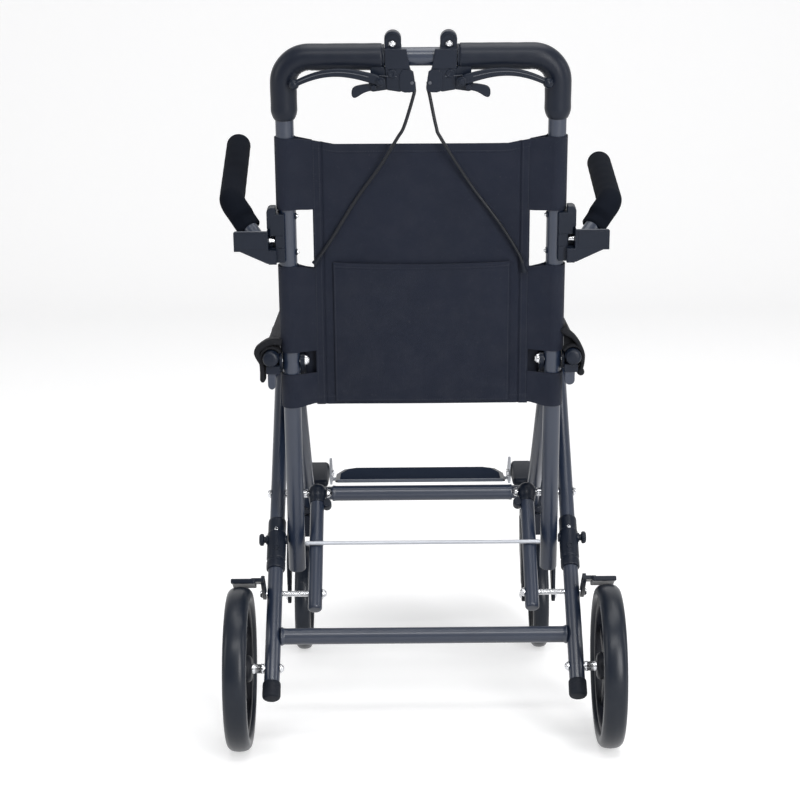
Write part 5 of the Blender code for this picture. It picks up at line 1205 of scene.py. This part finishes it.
# The clevis's top edge strip is a painted highlight: paler grey where the edge catches the light.
edge = [(187.8, 174.5), (226.2, 174.5), (226.6, 175.4), (187.8, 175.4)]
moulded([("clevis_edge", edge, -24.5, -22.2, 0.3)], painted_highlight_edge)
flare = [(186.8, 1), (186.8, 4.2), (185.2, 4.3), (183.6, 3.8), (179.8, 3.2), (179, 2.6), (179, 0.4)]
spin("arm_bolt_*", flare, (0, -11.8, 160.3), ACROSS, on_back, zinc, "back_frame", sides=28, cut=0.3)
for name, height in (("high", 188.7), ("low", 142.9)):
    washer = [(154.2, 4), (152.6, 4), (152.2, 3.6), (152.2, 0.4)]
    spin(f"channel_washer_{name}_*", washer, (0, -3, height), ACROSS, on_back, black_plastic, "back_frame",
         sides=24, cut=0.2)
    end = screw_head(152.4, 2.4, 2.3, -1)
    spin(f"channel_screw_{name}_*", end, (0, -3, height), ACROSS, on_back, zinc, "back_frame", sides=20,
         cut=0.2)


# Armrests. Each is a tube of 19 mm that turns up on its bolt, runs out and bends forward,
# in a pad of black foam whose skin wrinkles inside the bend and closes in a round end.
ARM_X = 0.200
ARM_W = 0.1573
ARM_BEND_R = 0.022
PAD_R = 0.0155
PAD_DOME = 0.0135
pad_foam = hard_finish("matte_pad_foam", "foam", (0.003, 0.004, 0.007), (0.006, 0.008, 0.013), 0.85,
                       fine=1300.0, depth=0.06, rub=0.74, dust=0.02, spread=0.06, gloss=0.05)


def on_arm(points, side):
    """(x outwards, n, w) from the flip axis to the chair's frame; the left arm lies 7 degrees higher."""
    p = leaned(np.asarray(points, float) * (side, 1, 1), 0, 0, math.radians(-3.5 * side))
    return on_back(p + (side * ARM_X, 0, ARM_W))


arm_bend = np.array([0.034, 0.0366, 0.0373])
arm_tip = np.array([0.039, 0.231, 0.0474])
arm_out = unit(arm_bend)
arm_along = unit(arm_tip - arm_bend)
arm_turn = math.acos(arm_out @ arm_along)
arm_cut = ARM_BEND_R * math.tan(arm_turn / 2)
arm_heart = arm_bend + unit(arm_along - arm_out) * ARM_BEND_R / math.cos(arm_turn / 2)
arm_first = arm_bend - arm_out * arm_cut - arm_heart
arm_second = arm_bend + arm_along * arm_cut - arm_heart
share = np.linspace(0, 1, 40)[:, None] * arm_turn
arm_swing = arm_first * np.sin(arm_turn - share) + arm_second * np.sin(share)
arm_corner = arm_heart + arm_swing / math.sin(arm_turn)
pad_neck = arm_corner[0] - arm_out * 0.0325
path = np.vstack([[arm_out * 0.0035, pad_neck + arm_out * 0.001], arm_corner, [arm_tip - arm_along * 0.004]])
both("armrest_bar_*", lambda side: on_arm(hosed(path, 0.0095, UP, 40), side), frame_paint, "armrest_*",
     "armrest_tube_*")
eye = turned([(-11.2, 3.4), (-11.2, 8.6), (-10.6, 9.2), (21.3, 9.2), (21.9, 8.6), (21.9, 3.4)], (0, 0, 0),
             ACROSS, 40, 0.3)
both("armrest_eye_*", lambda side: on_arm(eye, side), frame_paint, "armrest_*")


def arm_pad():
    """The pad's skin: a flattened neck, a wrinkled bend and a round end, and its bore round the tube."""
    path = evened(np.vstack([[pad_neck], arm_corner, [arm_tip]]), 0.0012)
    beyond = PAD_DOME * np.sin(np.linspace(0, math.pi / 2, 12))[1:, None]
    whole = np.vstack([path, path[-1] + beyond * arm_along])
    run = run_of(whole)
    dome = np.clip((run - run_of(path)[-1]) / PAD_DOME, 0, 1)
    outer = PAD_R * np.sqrt(1 - dome ** 2.3) + 0.0002 - 0.0018 * (1 - rise(run, 0, 0.003))
    shell = hosed(whole, outer + 0.00008 * np.sin(run * 190) * (dome == 0), UP, 52)
    arm = shell - whole[:, None]
    upward = np.clip((arm / np.linalg.norm(arm, axis=2, keepdims=True)) @ (0, -0.40, 0.92), 0, 1)
    pressed = 0.29 * (1 - rise(run, 0.0100, 0.0215))[:, None] * np.minimum(1.6 * upward, 1)
    shell = whole[:, None] + arm * (1 - pressed)[..., None]
    shell = creased(shell, whole, run, 0.026, 0.076, 0.040, 0.0058, arm_heart)
    return np.concatenate([shell, hosed(path[:-3], 0.0098, UP, 52)[::-1]])


pad_grid = arm_pad()
for pad in both("armrest_foam_*", lambda side: on_arm(pad_grid, side), pad_foam, "armrest_*", "armrest_pad_*",
                looped=True):
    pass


# Brake clamps. Each hand brake hangs from the middle of the push bar on a moulded collar;
# a ribbed dome covers its screw, and the body below holds the pivots and the cable's end.
LEVER_X = 48
LEVER_N = -22.5
LEVER_W = 358
CATCH_X = 56
CATCH_W = 350.5


def chaikin(outline, rounds=2):
    """Corners cut twice at a quarter and three quarters of each edge of a closed outline."""
    p = np.array(outline, float)
    for _ in range(rounds):
        after = np.roll(p, -1, 0)
        p = np.stack([p * 0.75 + after * 0.25, p * 0.25 + after * 0.75], 1).reshape(-1, 2)
    return p.tolist()


collar = [(22.7, 11.3), (22.7, 14.2), (23.4, 14.9), (30, 14.9), (30.4, 14.5), (34.6, 14.5), (35, 14.9),
          (41.6, 14.9), (42.3, 14.2), (42.3, 11.3)]
spin("clamp_collar_*", collar, (0, 0, BAR_W / MM), ACROSS, on_back, black_plastic, "back_frame",
     "brake_clamp_*", sides=48, cut=0.3)
dome = [(23.2, 394)] + arc((33.1, 404.6), -10.1, np.linspace(0, math.pi, 25), 10) + [(43, 394)]
turn = np.radians(np.linspace(8, 172, 25))
ribs = [arc((33.1, 403), radius, turn) + arc((33.1, 403), radius + 0.7, turn[::-1]) for radius in (6.6, 8.4)]
low = [(42.5, 371.2), (13.1, 371.2), (11.3, 365.5), (11.6, 354), (24.5, 343.2), (41, 345.8)]
upper = [(43, 394.5), (16.8, 394.5), (15, 382), (12.6, 370.6), (42.5, 370.6)]
block = [(25.5, 370.6), (9.4, 370.6), (7.6, 359.2), (5.8, 345.3), (11.5, 342.8), (21.5, 342.8), (26.5, 347.5)]
tab = [(36.3, 363), (58.7, 363), (59.8, 366), (60, 371.8), (58.6, 373.4), (43.6, 373.3)]
ears = [(26, 347.8), (56.7, 343.4), (62, 345), (62, 356), (56.7, 364.3), (26, 364.3)]
moulded((
    ("clamp_dome", dome, -7.8, 5.8, 1.6),
    ("clamp_rib_1", ribs[0], -8.5, -7.4, 0.2),
    ("clamp_rib_2", ribs[1], -8.5, -7.4, 0.2),
    ("lever_body", low, -14.6, 0.8, 1.4),
    ("lever_body_upper", upper, -15, -10, 1),
    ("lever_body_slot", oblong(20.5, 34.5, 359, 360.5), -15.1, -14, 0.3),
    ("lever_stop", chaikin(block, 1), -15.8, -11, 1),
    ("lever_tab_block", tab, -12.5, -3, 1),
    ("lever_ear", ears, -12.5, -4.5, 0.8),
))
# A thin paler strip on the lever body: a painted highlight along its edge.
ridge = [(28.5, 361.8), (49.5, 362.8), (49.5, 363.6), (28.5, 362.6)]
moulded([("lever_body_ridge", ridge, -15.4, -11, 0.2)], painted_highlight_edge)
head = [(-d, r) for d, r in screw_head(9, 1.4, 3.6, 1)[::-1]]
screw = [(-7.4, 4.2), (-8.6, 4.2), (-9, 3.6)] + head
seat = [(-7.4, 4.7), (-8.3, 4.7), (-8.3, 6.2), (-7.4, 6.2)]
boss = [(-14, 5.2), (-15.4, 5.2), (-16, 4.6), (-16, 2.6), (-15.3, 2.2), (-15.3, 0.4)]
nut = [(-15, 0.4), (-15, 2.1), (-16.8, 2.1), (-17.2, 1.6), (-17.2, 0.4)]
spin("clamp_screw_*", screw, (33.6, 0, 399.2), ALONG, on_back, zinc, "back_frame", sides=28, cut=0.2)
spin("clamp_screw_seat_*", seat, (33.6, 0, 399.2), ALONG, on_back, black_rubber, "back_frame", sides=32,
     cut=0.2, looped=True)
spin("lever_boss_*", boss, (34.5, 0, 365.5), ALONG, on_back, black_plastic, "back_frame", sides=28, cut=0.3)
# The cable nuts take the paler edge finish: a painted glint in place of bright steel.
spin("cable_nut_*", nut, (10.6, 0, 354.6), ALONG, on_back, (painted_highlight_edge[0], "steel"), "back_frame", sides=24,
     cut=0.2)
barrel = [(0, 2), (0, 3.4), (5, 3.4), (5.4, 2.9), (6.2, 2.9), (6.6, 3.6), (10, 3.6), (10.4, 2.9), (11.8, 2.9),
          (12.5, 2.4), (12.5, 0.4)]


def adjuster(side):
    """The cable's adjuster, leaning towards the middle of the back."""
    return on_back(turned(barrel, (side * 17.5, -7.5, 364.5), (side * -7.5, 0, -10), 32, 0.2))


both("cable_adjuster_*", adjuster, zinc, "back_frame")
for name, x, w, near in (("lever", LEVER_X, LEVER_W, -26.8), ("catch", CATCH_X, CATCH_W, -20.4)):
    pin = [(-8, 2.2), (near, 2.2), (near, 3.6), (near - 1, 3.6), (near - 1.8, 2.6), (near - 1.8, 0.4)]
    spin(f"{name}_pin_*", pin, (x, 0, w), ALONG, on_back, black_plastic, "back_frame", sides=24, cut=0.2)


# Brake levers. Flat black levers arch out under the grips and end in round tips; a thin
# lighter strip along each is a painted highlight on the moulding's edge.
LEVER_SPAN = 103.3
BALL_R = 6.2


def on_lever(flat, n):
    """(along, up) millimetres from the pivot and a depth to metres in the back's own frame."""
    return MM * np.stack([LEVER_X + flat[..., 0], n + 0 * flat[..., 0], LEVER_W + flat[..., 1]], -1)


t = np.linspace(0, 1, 60)
arch = 12 * np.sin(math.pi * np.minimum(t * 0.85 + 0.02, 1)) - 8.3 * t ** 3
middle = np.stack([LEVER_SPAN * t, arch], -1)
wing = beside(middle)
turn = np.arange(32) * 2 * math.pi / 32
across = swelled(np.cos(turn), 0.55)
half_wide = (6.2 - 2.6 * t) * np.sqrt(np.clip(1 - ((0.06 - t) / 0.06).clip(0, 1) ** 2, 0.05, 1))
hollow = 2.25 * swelled(np.sin(turn), 0.75) * (1 - 0.22 * bell(across, 0, 0.42))
flat = middle[:, None] + half_wide[:, None, None] * across[None, :, None] * wing[:, None]
both("lever_blade_*", on_back(on_lever(flat, LEVER_N + hollow)), black_plastic, "brake_lever_*",
     "brake_lever_*")
# A thin paler rod along each blade: a painted highlight on the moulding's edge.
ridge = on_lever(middle[8:-3] + wing[8:-3] * 0.8, -24.6)
both("lever_ridge_*", lambda side: on_back(hosed(ridge * (side, 1, 1), 0.0006, ALONG, 10)), painted_highlight_edge,
     "brake_lever_*")


def lever_ball(side):
    """The round tip, set a little back into the blade."""
    t = np.linspace(0.12, math.pi - 0.02, 22)
    toward = unit(np.array([side, 0, -0.6]))
    tip = np.array([side * (LEVER_X + middle[-1, 0]), LEVER_N, LEVER_W + middle[-1, 1]])
    profile = BALL_R * np.stack([-np.cos(t), np.sin(t)], -1)
    return on_back(turned(profile, tip - toward * 1.2, toward, 36, 0.1))


both("lever_ball_*", lever_ball, black_plastic, "brake_lever_*")
eye = [(-2, 4.5), (-2.8, 5.8), (-3.4, 5.6), (-3.6, 3), (-3, 2.4)]
spin("lever_eye_*", eye, (LEVER_X, LEVER_N, LEVER_W), ALONG, on_back, black_plastic, "brake_lever_*",
     sides=28, cut=0.2)


# Parking catches. A small moulded hook below each lever is swung up by the thumb to hold
# the brake on.
hook = [(-4, -4), (10, -5.5), (23, -14.5), (27, -10), (25.7, 0), (14, 3), (-3, 4.5)]
outline = [(CATCH_X + a, CATCH_W + b) for a, b in chaikin(hook)]
press("catch_hook_*", outline, -18.75, -14.25, from_behind, black_plastic, "parking_catch_*",
      "parking_catch_*", ease=0.9)
bar = [(-14.3, 0.4), (-14.3, 0.9), (-18.7, 0.9), (-18.7, 0.4)]
for k in range(4):
    at = (CATCH_X + 15 + 2.6 * k, 0, CATCH_W - 6.8 - 1.4 * k)
    spin(f"catch_grip_{k + 1}_*", bar, at, ALONG, on_back, black_plastic, "parking_catch_*", sides=12,
         cut=0.2)


# Brake cables. Steel wire in a black PVC casing of 4.2 mm runs from each adjuster down the
# back and goes in at the side seam; a ferrule and a small grommet close its two ends.
def casing_route(route, spacing=12.6):
    """Millimetre points at even steps along the Catmull-Rom curve through the route."""
    p = np.array(route, float)
    padded = np.vstack([2 * p[0] - p[1], p, 2 * p[-1] - p[-2]])
    t = np.linspace(0, 1, 24, endpoint=False)[None, :, None]
    p0, p1, p2, p3 = (padded[k:len(padded) - 3 + k, None] for k in range(4))
    square = (2 * p0 - 5 * p1 + 4 * p2 - p3) * t ** 2
    cube = (3 * p1 - p0 - 3 * p2 + p3) * t ** 3
    curve = 2 * p1 + (p2 - p0) * t + square + cube
    return evened(np.vstack([0.5 * curve.reshape(-1, 3), p[-1:]]), spacing, 8)


casing = hard_finish("cable_casing", "black_plastic", (0.003, 0.004, 0.007), (0.007, 0.009, 0.014), 0.34,
                     dust=0.04, gloss=0.30)
ferrule = [(-0.6, 2.2), (-0.6, 2.9), (6.6, 2.9), (7.2, 2.5), (7.2, 2.1)]
grommet = [(-10, 2.1), (-10, 2.4), (-3, 3.1), (0.4, 4.2), (1.6, 4.2), (1.8, 3.4)]
start = (9.3, -7.5, 353.5)
left_route = [start, (8, -8.5, 347), (8.8, -10, 338.5), (20.4, -16.5, 302.5), (28.9, -18, 288),
              (51, -12, 250.4), (79.1, -7.3, 210.4), (110, -7.3, 160), (130.6, -7.3, 129.8)]
right_route = [start, (8.2, -8.5, 347), (10.3, -10, 338.5), (17.8, -16.5, 302.3), (23.8, -18, 287.6),
               (58.8, -7.3, 229.4), (95.5, -7.3, 179), (120, -7.3, 139), (126.2, -7.3, 118)]
for tag, side, route in (("l", -1, left_route), ("r", 1, right_route)):
    knots = casing_route(route) * (side, 1, 1)
    fine = evened(casing_route(route, 2) * (side, 1, 1), 2)
    hose = add(f"brake_hose_{tag}", on_back(hosed(fine * MM, 0.0021, ALONG, 20)), casing, "back_frame",
               f"brake_cable_{tag}")
    at_lever = on_back(turned(ferrule, knots[0], knots[1] - knots[0], 24, 0.2))
    at_seam = on_back(turned(grommet, knots[-1], knots[-1] - knots[-2], 24, 0.2))
    boot = add(f"cable_ferrule_{tag}", at_lever, black_plastic, "back_frame")
    seal = add(f"cable_grommet_{tag}", at_seam, black_rubber, "back_frame")
    path = on_back(knots * MM)


# Seat sling. One piece of the same weave is sewn into sleeves round the two rails and sags
# between them under its own hems; its rear edge is turned down as a short flap. Sling and
# flap are near black, darker than the back's navy: painted shade for the shadow they lie in.
SLING_X = 0.1787
SLING_BACK = -0.07756
SLING_FRONT = 0.21944
# Near black rather than the back's navy: painted shade for the shadow under the back cloth.
seat_shade_cloth = woven_finish("black_seat_cloth", "cloth", (0.006, 0.007, 0.010), (0.011, 0.013, 0.018), 1500.0,
                          0.75, 0.02)


def sag(x):
    """z = 0.484 - 0.034 (1 - (x / X)^2) between the rails."""
    return 0.484 - 0.034 * (1 - (x / SLING_X) ** 2)


def sling_lift(x, y):
    """What the cloth rises over its plain line: hems, side seams, and folds that run from rail to rail."""
    a = np.abs(x)
    folds = 0.0007 * np.sin(2 * math.pi * (y * 11.0 + 0.9 * np.cos(x * 9.0))) * bell(a, 0.105, 0.045)
    slow = 0.0014 * np.sin(2 * math.pi * (y + 0.08) / 0.30) * np.cos(x * 9.5)
    edge = np.minimum(y - SLING_BACK, SLING_FRONT - y)
    hem = 0.0007 * (1 - rise(edge, 0.0135, 0.0145)) - 0.0004 * bell(edge, 0.0122, 0.0007)
    curl = 0.0012 * np.exp(-edge / 0.006) * np.cos(x * 14)
    sewn = 0.0006 * rise(a, 0.1520, 0.1528) - 0.0005 * bell(a, 0.1545, 0.0009)
    return (folds + slow + curl + hem + sewn) * (1 - rise(a, 0.160, 0.176))


x = np.linspace(0, 0.1690, 60)
wrap = MM * np.array(arc((RAIL_X, RAIL_Z), 10.5, np.radians(np.linspace(122, -8, 26))))
half = np.vstack([seam(x, sag(x)), wrap])
half = np.vstack([half[:0:-1] * (-1, 1), half])
line = evened(half, run_of(half)[-1] / 220)
x, y = np.meshgrid(line[:, 0], np.linspace(SLING_BACK, SLING_FRONT, 181))
grid = np.stack([x, y, line[:, 1] + sling_lift(x, y)], -1)
sling = thick(add("seat_sling", grid, seat_shade_cloth, "seat_frame", "seat_cloth", closed=False), 0.0016)
u, v = np.meshgrid(np.linspace(-1, 1, 121), np.linspace(0, 1, 33))
x = 0.1480 * u
tuck = 0.0030 * np.sin(v * math.pi / 2) + 0.0006 * np.sin(x * 75) * v + 0.0008 * rise(v, 0.70, 0.74)
y = SLING_BACK + 0.0008 - tuck
drop = np.maximum(sag(x) - 0.4400 - 0.0022 * np.cos(x * 22), 0.0105)
grid = np.stack([x, y, sag(x) - v * drop], -1)
flap = thick(add("seat_rear_flap", grid, seat_shade_cloth, "seat_frame", closed=False), 0.0013)


def on_sling(points):
    """(x, height over the sling's face, y) to the chair's frame."""
    x, n, y = np.moveaxis(points, -1, 0)
    return np.stack([x, y, np.interp(x, line[:, 0], line[:, 1]) + sling_lift(x, y) - n], -1)


span = np.linspace(-0.1640, 0.1640, 90)
lines = [seam(span, SLING_BACK + 0.0122), seam(span, SLING_FRONT - 0.0122)]
lines += [[(x, SLING_BACK + 0.003), (x, SLING_FRONT - 0.003)] for x in (0.1545, 0.1600, -0.1545, -0.1600)]
stitches("sling_stitches", "seat_frame", lines, lambda x, y: 0 * x - 0.0008, on_sling)


# Lap belt. Two short tails of black webbing, 25 mm wide, come round the rails behind the
# seat and hang folded over beside them; the left end is doubled back and sewn.
BELT_Y = -162.56
BELT_WIDE = 25.5
webbing = woven_finish("belt_webbing", "webbing", (0.005, 0.006, 0.008), (0.009, 0.010, 0.014), 620.0, 0.78,
                       0.03, 0.30)


def strap(path, thickness):
    """A strap along (x, z) in millimetres: a flat rounded bar with a selvage bead at either edge."""
    p = np.pad(evened(np.array(path, float), 0.8), ((6, 6), (0, 0)), mode="reflect", reflect_type="odd")
    kernel = np.hanning(13) / np.hanning(13).sum()
    smooth = np.stack([np.convolve(p[:, k], kernel, "valid") for k in range(2)], -1)
    t = np.arange(48) * 2 * math.pi / 48
    u = swelled(np.cos(t), 0.35)
    v = swelled(np.sin(t), 0.7) * (1 - 0.22 * bell(np.abs(u), 0.80, 0.05))
    share = np.linspace(0, 1, len(smooth))
    depth = np.interp(share, *zip(*thickness)) / 2
    points = smooth[:, None] + (depth[:, None] * v)[..., None] * beside(smooth)[:, None]
    narrowed = np.interp(share, (0, 0.015, 0.985, 1), (0.94, 1, 1, 0.94))
    y = BELT_Y + BELT_WIDE / 2 * u * narrowed[:, None]
    return MM * np.stack([points[..., 0], y, points[..., 1]], -1)


left_path = [(175.2, 498.5), (181, 499.8), (187, 499.8), (192.5, 498.2), (198, 494.8), (205, 489.3),
             (206.2, 485), (203.5, 479), (199.8, 473), (199.2, 460), (199.6, 449)]
right_path = [(175.2, 515), (178.2, 510.8), (183.5, 507.3), (189.5, 503), (194.5, 496.5), (199.2, 487.5),
              (201.4, 480), (200.8, 471), (198.8, 462), (198.2, 455)]
belts = {
    -1: (left_path, [(0, 8.5), (0.45, 8.8), (0.55, 8), (0.75, 7.2), (0.97, 7.2), (1, 4)]),
    1: (right_path, [(0, 13), (0.10, 8.5), (0.25, 6), (0.88, 5.2), (0.92, 9.2), (0.96, 9.8), (0.99, 7),
                     (1, 3)]),
}


def belt_web(side):
    """The layer of webbing between the belt and the rail."""
    outer = [point for point in belts[side][0][:-2] if point[0] > 178]
    outline = [(177.5, 498.5)] + outer + [(RAIL_X + 4, 462.5), (177.5, 462.5)]
    return from_rear(slab(outline, BELT_Y - 1, BELT_Y + 1)) * (side, 1, 1)


both("lap_belt_*", lambda side: strap(*belts[side]) * (side, 1, 1), webbing, "seat_frame", "belt_*")
both("belt_web_*", belt_web, webbing, "seat_frame", ease=0.4)
loop = arc((RAIL_X, RAIL_Z), 12.6, np.radians(np.linspace(152, -42, 24)))
both("belt_loop_*", strap(loop, [(0, 4), (1, 4)]), webbing, "seat_frame")
